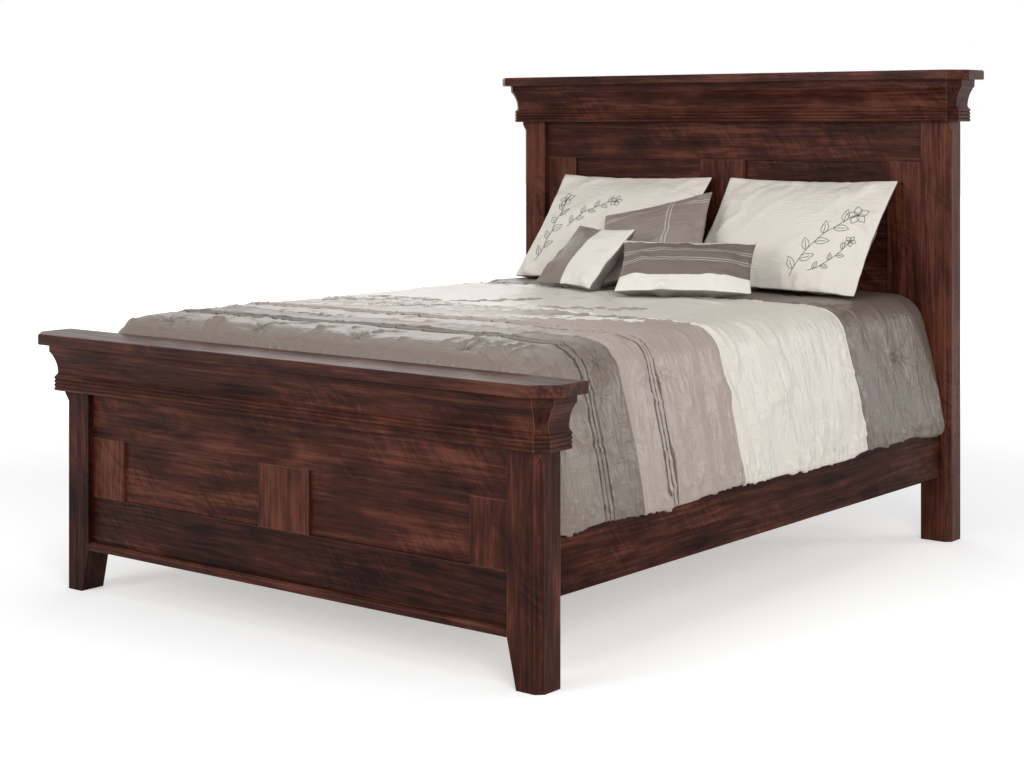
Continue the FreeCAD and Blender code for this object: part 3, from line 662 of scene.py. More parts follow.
def pick(piece: Piece) -> None:
    """Select one piece alone and make it active."""
    bpy.ops.object.select_all(action="DESELECT")
    piece.select_set(True)
    bpy.context.view_layer.objects.active = piece


def finish_modifier(piece: Piece, kind: str, **settings: Any) -> None:
    """Add a modifier to a piece, set it and apply it."""
    pick(piece)
    modifier = piece.modifiers.new(kind.lower(), kind)
    for name, value in settings.items():
        setattr(modifier, name, value)
    bpy.ops.object.modifier_apply(modifier=modifier.name)


class ClothMap:
    """Finds where a place on the flat pattern lies on the finished cover."""

    def __init__(self, piece: Piece, size: tuple[float, float], cloth: int = 0) -> None:
        """Read the cover.

        Args:
            piece: the finished cover with its flat pattern as a UV map.
            size: the flat pattern's width and height.
            cloth: the number of the piece's material that is looked at.
        """
        self.size = size
        mesh = piece.data
        mesh.calc_loop_triangles()
        flat = mesh.uv_layers[FLAT].data
        self.flats: list[list[Vector]] = []
        self.solids: list[list[Vector]] = []
        for triangle in mesh.loop_triangles:
            if triangle.material_index == cloth:
                self.flats.append([Vector((*flat[loop].uv, 0.0)) for loop in triangle.loops])
                self.solids.append([mesh.vertices[n].co.copy() for n in triangle.vertices])
        corners_flat = [corner for triangle in self.flats for corner in triangle]
        faces = [(3 * n, 3 * n + 1, 3 * n + 2) for n in range(len(self.flats))]
        self.tree = BVHTree.FromPolygons(corners_flat, faces)

    def at(self, across: float, up: float, lift: float = 0.0) -> Vector:
        """Find a place on the cover.

        Args:
            across: metres along the pattern's width, from its corner.
            up: metres along its height.
            lift: how far above the cloth.

        Returns:
            The place, in the part's frame.
        """
        aim = Vector((across / self.size[0], up / self.size[1], 0.0))
        found, _, index, _ = self.tree.find_nearest(aim)
        first, second, third = self.solids[index]
        place = barycentric_transform(found, *self.flats[index], first, second, third)
        normal = (second - first).cross(third - first).normalized()
        return place + normal * lift


Line = list[tuple[float, float]]


@dataclass
class Needlework:
    """Thread sewn along lines of a cover's flat pattern."""

    name: str
    slot: str
    finish: ThreadFinish
    radius: float
    lift: float = 0.0002
    step: float = 0.005

    def sew(self, at: Callable[[float, float, float], Vector], lines: list[Line]) -> Piece:
        """Lay the thread along the lines.

        Args:
            at: finds a place on the cloth from two distances and a lift.
            lines: their points on the flat pattern, in metres.

        Returns:
            The finished piece.
        """
        curve = bpy.data.curves.new(self.name, "CURVE")
        curve.dimensions = "3D"
        curve.bevel_depth = self.radius
        curve.bevel_resolution = 1
        curve.use_fill_caps = True
        for line in lines:
            dense = self.dense(line)
            spline = curve.splines.new("POLY")
            spline.points.add(len(dense) - 1)
            for point, (x, y) in zip(spline.points, dense):
                point.co = (*at(x, y, self.lift), 1.0)
        piece = bpy.data.objects.new(self.name, curve)
        bpy.context.scene.collection.objects.link(piece)
        pick(piece)
        bpy.ops.object.convert(target="MESH")
        piece = bpy.context.object
        bpy.ops.object.shade_smooth()
        paint(piece, self.finish.material())
        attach(piece, "bed")
        return piece

    def dense(self, line: Line) -> Line:
        """Put points along a line close enough to follow the cloth."""
        made: Line = [line[0]]
        for (x0, y0), (x1, y1) in zip(line, line[1:]):
            count = max(1, round(math.hypot(x1 - x0, y1 - y0) / self.step))
            made += [(x0 + (x1 - x0) * n / count, y0 + (y1 - y0) * n / count)
                     for n in range(1, count + 1)]
        return made


@dataclass(frozen=True)
class Sprig:
    """A plain embroidered branch: a bent stem, leaves on both sides, and a blossom at its tip."""

    x: float
    y: float
    turn: float
    length: float
    bend: float = 0.6
    pairs: int = 4
    petals: int = 5
    leaf_size: float = 0.17
    leaf_width: float = 0.24
    leaf_lean: float = 0.85
    petal_size: float = 0.75
    petal_width: float = 0.34

    def petal(self, x: float, y: float, turn: float, size: float, width: float) -> Line:
        """Draw the closed outline of a leaf or petal from its root."""
        made: Line = []
        half = 6
        for n in range(-half, half + 1):
            t = 1 - abs(n) / half
            off = math.copysign(width * size * math.sin(math.pi * t ** 0.8), n)
            made.append((x + size * t * math.cos(turn) - off * math.sin(turn),
                         y + size * t * math.sin(turn) + off * math.cos(turn)))
        return made

    def lines(self) -> list[Line]:
        """Draw the whole branch."""
        steps = self.pairs * 6
        step = self.length / steps
        x, y, turn = self.x, self.y, self.turn
        stem: Line = [(x, y)]
        made = [stem]
        size = self.length * self.leaf_size
        for n in range(steps):
            turn += self.bend / steps
            x, y = x + step * math.cos(turn), y + step * math.sin(turn)
            stem.append((x, y))
            if n % 3 == 1 and n < steps - 3:
                lean = turn + (self.leaf_lean if n % 6 == 1 else -self.leaf_lean)
                vein = size * 0.7
                made.append(self.petal(x, y, lean, size, self.leaf_width))
                made.append([(x, y), (x + vein * math.cos(lean), y + vein * math.sin(lean))])
        for n in range(self.petals):
            made.append(self.petal(x, y, turn + math.tau * n / self.petals,
                                   size * self.petal_size, self.petal_width))
        return made


# ------------------------------------------------------------------ forms of soft cloth


def wavering(across: np.ndarray, along: np.ndarray, seed: int, octaves: int = 1) -> np.ndarray:
    """Smooth noise over a surface.

    Args:
        across: first coordinate, in features.
        along: second coordinate, in features.
        seed: picks the pattern.
        octaves: how many times finer noise of half the strength is added.

    Returns:
        Values from -1 to 1.
    """
    size = 512
    table = np.random.default_rng(seed).uniform(-1.0, 1.0, (size, size))
    total = np.zeros(np.broadcast(across, along).shape)
    for octave in range(octaves):
        u = across * 2 ** octave + 17.3 * octave + size / 2
        v = along * 2 ** octave + 5.1 * octave + size / 2
        column, row = np.floor(u).astype(int), np.floor(v).astype(int)
        ease_u, ease_v = ((t - np.floor(t)) ** 2 * (3 - 2 * (t - np.floor(t))) for t in (u, v))
        corner = [[table[(column + i) % size, (row + j) % size] for i in (0, 1)] for j in (0, 1)]
        low, high = (near * (1 - ease_u) + far * ease_u for near, far in corner)
        total += (low * (1 - ease_v) + high * ease_v) / 2 ** octave
    return total / (2 - 0.5 ** (octaves - 1))


def bump_at(distance: np.ndarray, width: float) -> np.ndarray:
    """A smooth bump of height 1 and a given width."""
    return np.exp(-(distance / width) ** 2)


def rise(value: np.ndarray, start: float, length: float) -> np.ndarray:
    """Go from 0 to 1 over a length, from a start."""
    return np.clip((value - start) / length, 0, 1)


@dataclass(frozen=True)
class Creases:
    """A family of long creases: their size and spacing, the share of the cloth that has any, how
    narrow their crests are, and how high, in metres or as a share."""

    seed: int
    length: float
    spacing: float
    cover: float = 0.5
    thin: float = 3.2
    height: float = 1.0

    def over(self, run: np.ndarray, over: np.ndarray, shift: int = 0) -> np.ndarray:
        """Scatter the creases over a surface.

        Args:
            run: distance along the creases.
            over: distance across them.
            shift: added to the seed, for another pattern.

        Returns:
            How high each place stands.
        """
        u, v, seed = run / self.length, over / self.spacing, self.seed + shift
        line = np.clip(1 - np.abs(wavering(u, v, seed)) * self.thin, 0, 1)
        patch = wavering(u * 0.8 + 7.3, v * 0.4 + 3.1, seed + 1)
        share = np.clip((patch - 1 + 2 * self.cover) / 0.5 + 0.5, 0, 1)
        return self.height * (line ** 1.3 * share * share * (3 - 2 * share))


SEAM_DRAWN = Creases(50, 0.11, 0.04, 0.55, 2.4)
CUSHION_DENTS = Creases(55, 0.2, 0.07, 0.4, 2.4, 0.6)
LONG_FOLDS = Creases(7, 0.26, 0.085, 0.5, 3.4, 0.010)
SHORT_FOLDS = Creases(11, 0.13, 0.05, 0.4, 3.4, 0.006)
SOFT_FOLDS = Creases(13, 0.20, 0.075, 0.45, 2.2, 0.0036)
CROSS_FOLDS = Creases(15, 0.16, 0.06, 0.4, 2.4, 0.0026)
TOE_FOLDS = Creases(67, 0.09, 0.032, 0.6, height=0.011)
HEM_FOLDS = Creases(19, 0.07, 0.026, 0.7, height=0.009)
SEAM_PUCKERS = Creases(23, 0.05, 0.024, 0.65, height=0.0055)
TUCK_PUCKERS = Creases(29, 0.06, 0.03, 0.6, height=0.0045)


# ------------------------------------------------------------------ pillows


@dataclass
class Pillow:
    """A stuffed cover, seamed round its edge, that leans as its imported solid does."""

    name: str
    node: str
    slot: str
    width: float
    height: float
    thickness: float
    lean: float
    front: ClothFinish
    back: ClothFinish
    turn: float = 0.0
    roll: float = 0.0
    seed: float = 0.0
    cell: float = 0.011
    drawn_in: float = 0.012
    pucker: float = 0.013
    slab: float = 0.02
    forward: float = 0.016
    pinch: float = 0.042
    rest: float = 0.012
    ripple: float = 0.0016
    frames: int = 20
    evenness: float = 0.6
    crown_share: float = 0.5
    rim_share: float = 0.2
    sag: float = 0.22
    fill: float = 0.7
    stuffing: tuple[tuple[str, float], ...] = (
        ("quality", 7), ("mass", 0.25), ("tension_stiffness", 15), ("compression_stiffness", 15),
        ("shear_stiffness", 5), ("bending_stiffness", 0.5), ("air_damping", 4.0),
        ("shrink_min", -0.04), ("use_pressure", True), ("uniform_pressure_force", 3.0))
    flat: np.ndarray | None = None
    side: np.ndarray | None = None

    def cut(self) -> Piece:
        """Cut the flat cover, front and back, joined by a narrow edge.

        Returns:
            The flat piece, lying in X and Y with its front up.
        """
        columns, rows = round(self.width / self.cell), round(self.height / self.cell)
        bpy.ops.mesh.primitive_grid_add(x_subdivisions=columns, y_subdivisions=rows, size=1.0)
        piece = bpy.context.object
        piece.name = self.name
        piece.data.uv_layers[0].name = FLAT
        points = points_of(piece) * (self.width, self.height, 1.0)
        fine = points[:, :2].T * 24
        points[:, 2] = self.ripple * wavering(*fine, round(self.seed), 2)
        set_points(piece, points)
        finish_modifier(piece, "SOLIDIFY", thickness=self.slab, offset=0.0)
        for face in piece.data.polygons:
            face.material_index = 0 if face.normal.z > 0.5 else 1
        self.flat = points_of(piece)[:, :2] * (2 / self.width, 2 / self.height)
        self.side = points_of(piece)[:, 2]
        return piece

    def crown(self, piece: Piece) -> None:
        """Fill the cover by a smooth crown, where the stuffing isn't simulated."""
        points = points_of(piece)
        across = np.abs(points[:, 0]) * 2 / self.width
        up = np.abs(points[:, 1]) * 2 / self.height
        full = (np.clip(1 - across ** 2.6, 0, 1) * np.clip(1 - up ** 2.6, 0, 1)) ** 0.55
        points[:, 2] += np.sign(points[:, 2]) * full * self.thickness / 2
        set_points(piece, points)

    def stuff(self, piece: Piece) -> None:
        """Stuff the cover by cloth simulation, so that its seams pucker."""
        pick(piece)
        scene = bpy.context.scene
        cloth = piece.modifiers.new("stuffing", "CLOTH")
        for name, value in self.stuffing:
            setattr(cloth.settings, name, value)
        cloth.settings.effector_weights.gravity = 0.0
        cloth.point_cache.frame_start = 1
        cloth.point_cache.frame_end = self.frames
        for number in range(1, self.frames + 1):
            scene.frame_set(number)
        bpy.ops.object.modifier_apply(modifier=cloth.name)
        scene.frame_set(1)

    def squared(self, points: np.ndarray) -> np.ndarray:
        """Bring the stuffed cover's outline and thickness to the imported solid's.

        Args:
            points: the simulated points.

        Returns:
            The points with nearly straight seams of the right length.
        """
        made = points.copy()
        sizes = (self.width, self.height)
        for axis in (0, 1):
            along = self.flat[:, 1 - axis]
            limits = []
            for side in (-1, 1):
                rim = np.flatnonzero(self.flat[:, axis] * side > 0.999)
                order = rim[np.argsort(along[rim])]
                limits.append(np.interp(along, along[order], points[order, axis]))
            half = sizes[axis] / 2 - self.drawn_in * (1 - along ** 2)
            share = (points[:, axis] - limits[0]) / (limits[1] - limits[0])
            stuffed = (1 - self.evenness) * (2 * share - 1)
            made[:, axis] = (stuffed + self.evenness * self.flat[:, axis]) * half
        made[:, 1] -= self.rest * np.clip(-self.flat[:, 1], 0, 1) ** 3
        low, high = made[:, 2].min(), made[:, 2].max()
        full = np.prod(1 - np.abs(self.flat) ** 2.4, axis=1).clip(0, 1) ** 0.6
        stuffed = (made[:, 2] - (low + high) / 2) * self.thickness / (high - low)
        plain = 0.5 * self.thickness * full * np.sign(self.side)
        made[:, 2] = (1 - self.crown_share) * stuffed + self.crown_share * plain
        rim = np.minimum(*((1 - np.abs(self.flat.T)) * np.array(sizes)[:, None] / 2))
        inward = rise(rim, 0, self.pinch)
        made[:, 2] *= self.rim_share + (1 - self.rim_share) * np.sqrt(1 - (1 - inward) ** 2)
        low, high = made[:, 2].min(), made[:, 2].max()
        made[:, 2] = (made[:, 2] - (low + high) / 2) * self.thickness / (high - low)
        made[:, 2] += self.forward * (1 - inward) ** 1.5
        return made

    def fit(self, piece: Piece) -> None:
        """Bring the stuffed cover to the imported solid's size, then lean it in its place."""
        points = self.squared(points_of(piece))
        across, up = self.flat.T
        half_x, half_y = self.width / 2, self.height / 2
        edge_x, edge_y = (1 - np.abs(across)) * half_x, (1 - np.abs(up)) * half_y
        x, y, seed = across * half_x, up * half_y, round(self.seed)
        drawn = SEAM_DRAWN.over(x, y, seed) * bump_at(edge_x, 0.09)
        drawn += SEAM_DRAWN.over(y, x, seed + 3) * bump_at(edge_y, 0.08)
        drawn += CUSHION_DENTS.over(x + y, x - y, seed)
        seam = np.minimum(1, np.minimum(edge_x, edge_y) / 0.012)
        points[:, 2] += np.sign(self.side) * self.pucker * drawn * seam
        points[:, 2] *= 1 - self.sag * up
        set_points(piece, points)
        finish_modifier(piece, "SMOOTH", factor=0.5, iterations=2)
        finish_modifier(piece, "SUBSURF", levels=1, render_levels=1)
        corner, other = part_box(self.node)
        place = Matrix.Translation((corner + other) / 2)
        for angle, axis in ((self.turn, "Z"), (-self.lean, "X"), (self.roll, "Y"), (90, "X")):
            place @= Matrix.Rotation(math.radians(angle), 4, axis)
        piece.data.transform(place)

    def build(self, weave: Tree) -> Piece:
        """Build, place and dress the pillow.

        Args:
            weave: the shared weave group.

        Returns:
            The finished cover.
        """
        piece = self.cut()
        self.stuff(piece)
        self.fit(piece)
        pick(piece)
        bpy.ops.object.shade_smooth()
        size = (self.width, self.height)
        for number, finish in enumerate((self.front, self.back)):
            piece.data.materials.append(finish.material(weave, size, self.seed + number))
        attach(piece, "bed")
        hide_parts(self.node)
        log.info("pillow %s: %d points", self.name, len(piece.data.vertices))
        return piece


@dataclass
class Cushions:
    """The shams and cushions at the head."""

    weave: Tree
    reverse: ClothFinish = ClothFinish("grey_reverse", (Panel(0.0, GREY_BACK),))
    tuck_gap: float = 0.006
    stitch: float = 0.0011
    sprigs: dict[str, tuple[Sprig, ...]] = field(default_factory=lambda: {
        "left": (Sprig(0.07, 0.06, 1.2, 0.27), Sprig(0.16, 0.20, 1.1, 0.2, -0.9)),
        "right": (Sprig(0.40, 0.05, 1.35, 0.30, -0.7), Sprig(0.46, 0.07, 0.4, 0.17, 0.8, 3)),
    })

    def pair(self, middle: float, axis: int = 1) -> tuple[PaintedTuckLines, ...]:
        """Lay two light pin tucks side by side."""
        return tuple(PaintedTuckLines(middle + off, pitch=0.02, span=0.01, width=0.0036, tone=PALE_CREAM,
                              strength=0.55, axis=axis) for off in (-self.tuck_gap, self.tuck_gap))

    def build_sham(self, side: str, seed: float) -> None:
        """Build one cream sham with its sprigs.

        Args:
            side: left or right.
            seed: picks its creases.
        """
        cream = ClothFinish("cream_front", (Panel(0.0, CREAM),))
        size = (0.65, 0.46)
        cover = Pillow("sham_cover_" + side, "sham_" + side, "sham_satin", *size, thickness=0.105,
                       lean=39.0, front=cream, back=self.reverse, seed=seed, slab=0.03)
        at = ClothMap(cover.build(self.weave), size).at
        lines = [line for sprig in self.sprigs[side] for line in sprig.lines()]
        thread = ThreadFinish("sham_thread_" + side, DARK_THREAD)
        Needlework("sham_sprigs_" + side, "sham_satin", thread, self.stitch).sew(at, lines)

    def build(self) -> None:
        """Build every pillow."""
        self.build_sham("left", 3.0)
        self.build_sham("right", 8.0)
        mauve = ClothFinish("mauve_front", (Panel(0.0, MAUVE),),
                            rows=self.pair(0.345) + self.pair(0.255, axis=0))
        Pillow("square_cushion", "cushion_square", "mauve_satin", width=0.4, height=0.4,
               thickness=0.085, lean=53.0, front=mauve, back=self.reverse, roll=-22.0,
               seed=9.0).build(self.weave)
        bands = (Panel(0.0, PALE_CREAM), Panel(0.22, DARK_TAUPE), Panel(0.93, PALE_CREAM))
        striped = ClothFinish("striped_front", bands, rows=self.pair(0.19) + self.pair(0.135))
        Pillow("lumbar_cushion", "cushion_lumbar", "striped_satin", width=0.44, height=0.27,
               thickness=0.09, lean=56.0, front=striped, back=self.reverse, turn=27.0,
               seed=12.0).build(self.weave)
        pieced = ClothFinish("pieced_front", (Panel(0.0, TAUPE), Panel(0.45, PALE_CREAM)),
                             upright=False)
        Pillow("small_cushion", "cushion_small", "pieced_satin", width=0.32, height=0.265,
               thickness=0.08, lean=44.0, front=pieced, back=self.reverse, turn=-17.0, seed=15.0,
               slab=0.035).build(self.weave)
        log.info("cushions: five built")


# ------------------------------------------------------------------ comforter


@dataclass
class Comforter:
    """The banded comforter: crowned on the mattress, hanging at both sides and at the foot."""

    weave: Tree
    half_top: float = 0.674
    crown_height: float = 0.7999
    crown_drop: float = 0.006
    shoulder: tuple[float, float] = (0.786, 0.7119)
    hem: tuple[float, float] = (0.862, 0.366)
    foot: float = -0.998
    head: float = 1.074
    bend_reach: float = 0.058
    side_bulge: float = 0.005
    hem_roll: float = 0.008
    foot_round: float = 0.075
    head_round: float = 0.012
    spacing: float = 0.0064
    fine: float = 0.0018
    shell: float = 0.016
    drop_level: float = 0.43
    tuck_lines: tuple[float, ...] = (-0.793, -0.775, -0.758, -0.504, -0.487, -0.4705)
    seam_lines: tuple[float, ...] = (-0.628, -0.152, 0.549)
    tuft_rows: tuple[Colour, ...] = ((-0.945, 0.16, 0.37), (-0.70, 0.78, 1.56), (0.618, 0.23, 0.46),
                                     (0.846, 0.0, 0.46))
    tuft_reach: float = 1.08
    corner_round: float = 0.05
    white_sprigs: tuple[tuple[float, ...], ...] = (
        (-0.64, -0.36, 0.2, 0.34), (-0.40, -0.24, 0.1, 0.30, -0.5), (-0.10, -0.33, 0.3, 0.28),
        (0.16, -0.36, 0.1, 0.30, 0.5), (-0.02, -0.22, 2.8, 0.26, 0.4),
        (-0.66, -0.17, 0.1, 0.28, 0.7), (-0.55, -0.42, 0.1, 0.28, 0.4),
        (0.02, -0.43, 0.1, 0.26, 0.5), (0.30, -0.27, 0.4, 0.26, -0.5))
    pale_sprigs: tuple[tuple[float, ...], ...] = (
        (-0.60, -0.08, 0.2, 0.30, -0.6), (-0.24, -0.10, 0.7, 0.28), (0.12, -0.12, 0.3, 0.30, 0.7),
        (-0.62, -0.27, 0.1, 0.24), (-0.36, -0.34, 0.2, 0.24), (0.26, -0.24, 0.6, 0.24, -0.5))
    tuck_width: float = 0.0064
    tuck_lean: float = 0.0036
    tuck_height: float = 0.005
    seam_depth: float = 0.005
    crease: float = 0.0014
    swell: float = 0.0045
    hem_wave: float = 0.008
    hem_sag: float = 0.010
    side_start: float = 0.70
    hem_start: float = 1.05
    corner_fold: float = 0.021
    other_side: float = 31.7
    tuft_ray: float = 0.011
    star_reaches: tuple[float, float] = (0.019, 0.013)
    cloth_width: float = 2.35
    grid: tuple[np.ndarray, ...] = ()

    def section(self) -> np.ndarray:
        """Trace half of the cross section, from the crown to the hem, as rows of X and Z."""
        x = np.linspace(0.0, self.half_top, 300)
        crown = np.stack((x, self.crown_height - self.crown_drop * (x / self.half_top) ** 2), 1)
        start, end = crown[-1], np.array(self.shoulder)
        leave = np.array((1.0, -2 * self.crown_drop / self.half_top))
        fall = np.array(self.hem) - end
        arrive = fall / np.linalg.norm(fall)
        t = np.linspace(0, 1, 120)[1:, None]
        first = start + leave * self.bend_reach
        second = end - arrive * self.bend_reach * 0.9
        curve = ((1 - t) ** 3 * start + 3 * (1 - t) ** 2 * t * first + 3 * (1 - t) * t ** 2 * second
                 + t ** 3 * end)
        out = np.array((-arrive[1], arrive[0]))
        t = np.linspace(0, 1, 240)[1:, None]
        side = end + fall * t + out * (self.side_bulge * np.sin(math.pi * t))
        turn = np.linspace(0, math.pi * 0.8, 16)[1:, None]
        rolled = self.hem_roll * (out * np.cos(turn) + arrive * np.sin(turn))
        roll = side[-1] - out * self.hem_roll + rolled
        return np.concatenate((crown, curve, side, roll))

    def stations(self) -> np.ndarray:
        """Choose where the cross sections stand along Y: close together at seams and tucks."""
        angle = np.linspace(0, math.pi / 2, 14)[:-1]
        rounded = self.foot + self.foot_round * (1 - np.cos(angle))
        heel = self.head - self.head_round
        plain = np.arange(self.foot + self.foot_round, heel, self.spacing)
        ends = self.head - self.head_round * (1 - np.sin(np.linspace(0, math.pi / 2, 5)))
        fine = [np.arange(line - 0.011, line + 0.011, self.fine)
                for line in self.tuck_lines + self.seam_lines]
        close = np.sort(np.concatenate(fine))
        keep = [y for y in plain if np.min(np.abs(close - y)) > self.spacing * 0.6]
        every = np.sort(np.concatenate((rounded, keep, close, ends)))
        return every[np.concatenate(([True], np.diff(every) > self.fine * 0.5))]

    def puff(self, girth: np.ndarray, along: np.ndarray, pattern: np.ndarray) -> np.ndarray:
        """Work out how far the cover stands off its plain form.

        Args:
            girth: distance from the crown's middle line round the section, negative at the left.
            along: the place along Y.
            pattern: the same, as the cloth was cut before it was sewn.

        Returns:
            The height in metres.
        """
        shifted = girth + np.where(girth < 0, self.other_side, 0.0)
        return (self.folds(girth, along) + self.seams(shifted, along, pattern)
                + self.tucks(shifted, along, pattern) + self.foot_corner(np.abs(girth), along))

    def folds(self, girth: np.ndarray, along: np.ndarray) -> np.ndarray:
        """Work out the soft folds of the top, the sides, the foot edge and the hem."""
        reach = np.abs(girth)
        left = np.where(girth < 0, self.other_side, 0.0)
        across, down = girth + left, reach + left
        side = rise(reach, self.side_start, 0.12)
        lean = along + 0.25 * (reach - 0.9) * wavering(reach * 2, along * 2.5 + left, 61)
        height = self.swell * wavering(girth * 4 + left, along * 4, 3, 2) * (1 - 0.2 * side)
        hanging = LONG_FOLDS.over(down, lean) + SHORT_FOLDS.over(down, lean) - 0.002
        lying = SOFT_FOLDS.over(across, along + girth * 0.4) + CROSS_FOLDS.over(along, across)
        toe = rise(-along, 0.83, 0.06)
        hem = rise(reach, self.hem_start, 0.10) ** 1.5
        gathered = (self.hem_wave * wavering(reach * 3 + left, along * 15, 17)
                    + HEM_FOLDS.over(down, along) - 0.001)
        return (height + side * hanging + (1 - side) * lying
                + toe * (1 - side) * TOE_FOLDS.over(along, across) + hem * gathered)

    def seams(self, across: np.ndarray, along: np.ndarray, pattern: np.ndarray) -> np.ndarray:
        """Work out the seams between the bands, with the puckers beside them."""
        height = np.zeros_like(across)
        for line in self.seam_lines:
            gap = pattern - line
            pucker = SEAM_PUCKERS.over(along, across, round(abs(line) * 40))
            height += pucker * bump_at(gap, 0.045) * (1 - bump_at(gap, 0.006))
            height -= self.seam_depth * bump_at(gap, 0.007)
        return height

    def tucks(self, across: np.ndarray, along: np.ndarray, pattern: np.ndarray) -> np.ndarray:
        """Work out the sewn tucks, each a ridge and a groove, and the puckers round each group."""
        height = np.zeros_like(across)
        for line in self.tuck_lines:
            gap = pattern - line
            height += self.tuck_height * bump_at(gap - 0.0034, 0.0034)
            height -= 0.6 * self.tuck_height * bump_at(gap + self.tuck_lean, 0.0030)
        for line in (np.mean(self.tuck_lines[:3]), np.mean(self.tuck_lines[3:])):
            gap = pattern - line
            pucker = TUCK_PUCKERS.over(along, across, round(abs(line) * 40))
            height += pucker * bump_at(gap, 0.06) - 0.003 * bump_at(gap, 0.026)
        return height

    def foot_corner(self, reach: np.ndarray, along: np.ndarray) -> np.ndarray:
        """Work out the nested folds of the hem at the foot's corners."""
        corner = rise(-along, 0.90, 0.07) * rise(reach, 1.09, 0.02)
        turns = (1.176 - reach + 0.28 * (along - self.foot)) / self.corner_fold
        return corner * (0.004 * np.cos(math.tau * turns) + 0.005)

    def tuft_dents(self, girth: np.ndarray, along: np.ndarray) -> np.ndarray:
        """Work out the dents of the tufts with the creases that run out from them."""
        height = np.zeros_like(girth)
        for number, (middle, line) in enumerate(self.tuft_places()):
            away_x, away_y = girth - middle, along - line
            distance = np.hypot(away_x, away_y)
            near = distance < 0.2
            turn = np.arctan2(away_y[near], away_x[near])
            distance = distance[near]
            rays = np.abs(np.sin(turn * 3.5 + number * 1.9 + 0.5 * np.sin(turn * 2 + number)))
            star = (1 - rays) ** 1.5 * bump_at(distance, 0.062) * (1 - bump_at(distance, 0.008))
            button = 0.008 * bump_at(distance, 0.013) + 0.007 * bump_at(distance, 0.045)
            height[near] -= button + self.tuft_ray * star
        return height

    def tuft_places(self) -> list[tuple[float, float]]:
        """List the tufts as girth and Y, in staggered rows."""
        places = []
        for line, first, pitch in self.tuft_rows:
            for number in range(-8, 9):
                girth = first + number * pitch
                if abs(girth) < self.tuft_reach:
                    places.append((girth, line))
        return places

    def pattern(self, girth: np.ndarray, along: np.ndarray) -> np.ndarray:
        """Tell where along Y the cloth of a place was cut, before sewing drew it about."""
        return along + 0.004 * wavering(girth * 3, along * 1.5, 41)

    def settled(self, girth: np.ndarray, along: np.ndarray, hem: float) -> np.ndarray:
        """Work out how far the cover stands off the section, with its rounded foot and head.

        Args:
            girth: distance from the crown's middle line round the section.
            along: the place along Y.
            hem: the girth at the hem.

        Returns:
            The height in metres, negative where the ends are rounded off.
        """
        reach = np.abs(girth)
        depth = np.where(reach < self.half_top, 1.0,
                         np.clip(1 - (reach - self.half_top) / 0.22, 0.18, 1.0))
        toe = rise(along, self.foot, self.foot_round)
        heel = rise(-along, -self.head, self.head_round)
        inset = self.foot_round * depth * (1 - np.sqrt(1 - (1 - toe) ** 2))
        inset += self.head_round * np.minimum(depth, 0.6) * (1 - np.sqrt(1 - (1 - heel) ** 2))
        height = self.puff(girth, along, self.pattern(girth, along)) + self.tuft_dents(girth, along)
        height *= rise(along, self.foot, 0.03) * rise(-along, -self.head, 0.015)
        height = np.where(reach > 1.0, np.maximum(height, -0.002), height)
        return height * (0.4 + 0.6 * rise(-reach, -hem, 0.02)) - inset

    def surface(self) -> tuple[np.ndarray, np.ndarray, np.ndarray]:
        """Shape the cover.

        Returns:
            Points by section and station, and the flat pattern's two coordinates, from 0 to 1.
        """
        half = self.section()
        run = np.concatenate(([0.0], np.cumsum(np.linalg.norm(np.diff(half, axis=0), axis=1))))
        count = round(run[-1] / self.spacing)
        girth = np.linspace(-run[-1], run[-1], 2 * count + 1)
        place = np.abs(girth)
        sign = np.sign(girth)
        x, z = (np.interp(place, run, half[:, k]) for k in (0, 1))
        x = x * sign
        step = 0.001
        ahead, behind = np.minimum(place + step, run[-1]), np.maximum(place - step, 0)
        slope = [np.interp(ahead, run, half[:, k]) - np.interp(behind, run, half[:, k])
                 for k in (0, 1)]
        length = np.hypot(*slope)
        out_x, out_z = -slope[1] / length * sign, slope[0] / length
        out_x[place == 0], out_z[place == 0] = 0.0, 1.0
        stations = self.stations()
        grid_girth, along = np.meshgrid(girth, stations, indexing="ij")
        height = self.settled(grid_girth, along, run[-1])
        sag = self.hem_sag * wavering(np.sign(grid_girth) * 9, along * 7, 43, 2)
        sag = sag * rise(place, 1.0, 0.17)[:, None]
        turned = rise(place, run[-1] - self.corner_round, self.corner_round)[:, None]
        near_head = rise(along, self.head - 0.3, 0.3)
        drawn = along - self.corner_round * near_head * (1 - np.sqrt(1 - turned ** 2 * 0.96))
        points = np.stack((x[:, None] + out_x[:, None] * height, drawn,
                           z[:, None] + out_z[:, None] * height + sag), 2)
        self.grid = (girth, stations, points)
        flat_u = (grid_girth / run[-1] + 1) / 2
        flat_v = (self.pattern(grid_girth, along) - self.foot) / (self.head - self.foot)
        return points, flat_u, flat_v

    def at(self, girth: float, along: float, lift: float = 0.0) -> Vector:
        """Find a place on the finished cover.

        Args:
            girth: distance round the section from its middle line, in metres.
            along: the place along Y.
            lift: how far above the cloth.

        Returns:
            The place, in the part's frame.
        """
        across, stations, points = self.grid
        i = int(np.clip(np.searchsorted(across, girth) - 1, 0, len(across) - 2))
        j = int(np.clip(np.searchsorted(stations, along) - 1, 0, len(stations) - 2))
        s = (girth - across[i]) / (across[i + 1] - across[i])
        t = (along - stations[j]) / (stations[j + 1] - stations[j])
        near, far = (points[i + k, j] * (1 - t) + points[i + k, j + 1] * t for k in (0, 1))
        normal = np.cross(far - near, points[i, j + 1] - points[i, j])
        return Vector(near * (1 - s) + far * s + lift * normal / np.linalg.norm(normal))

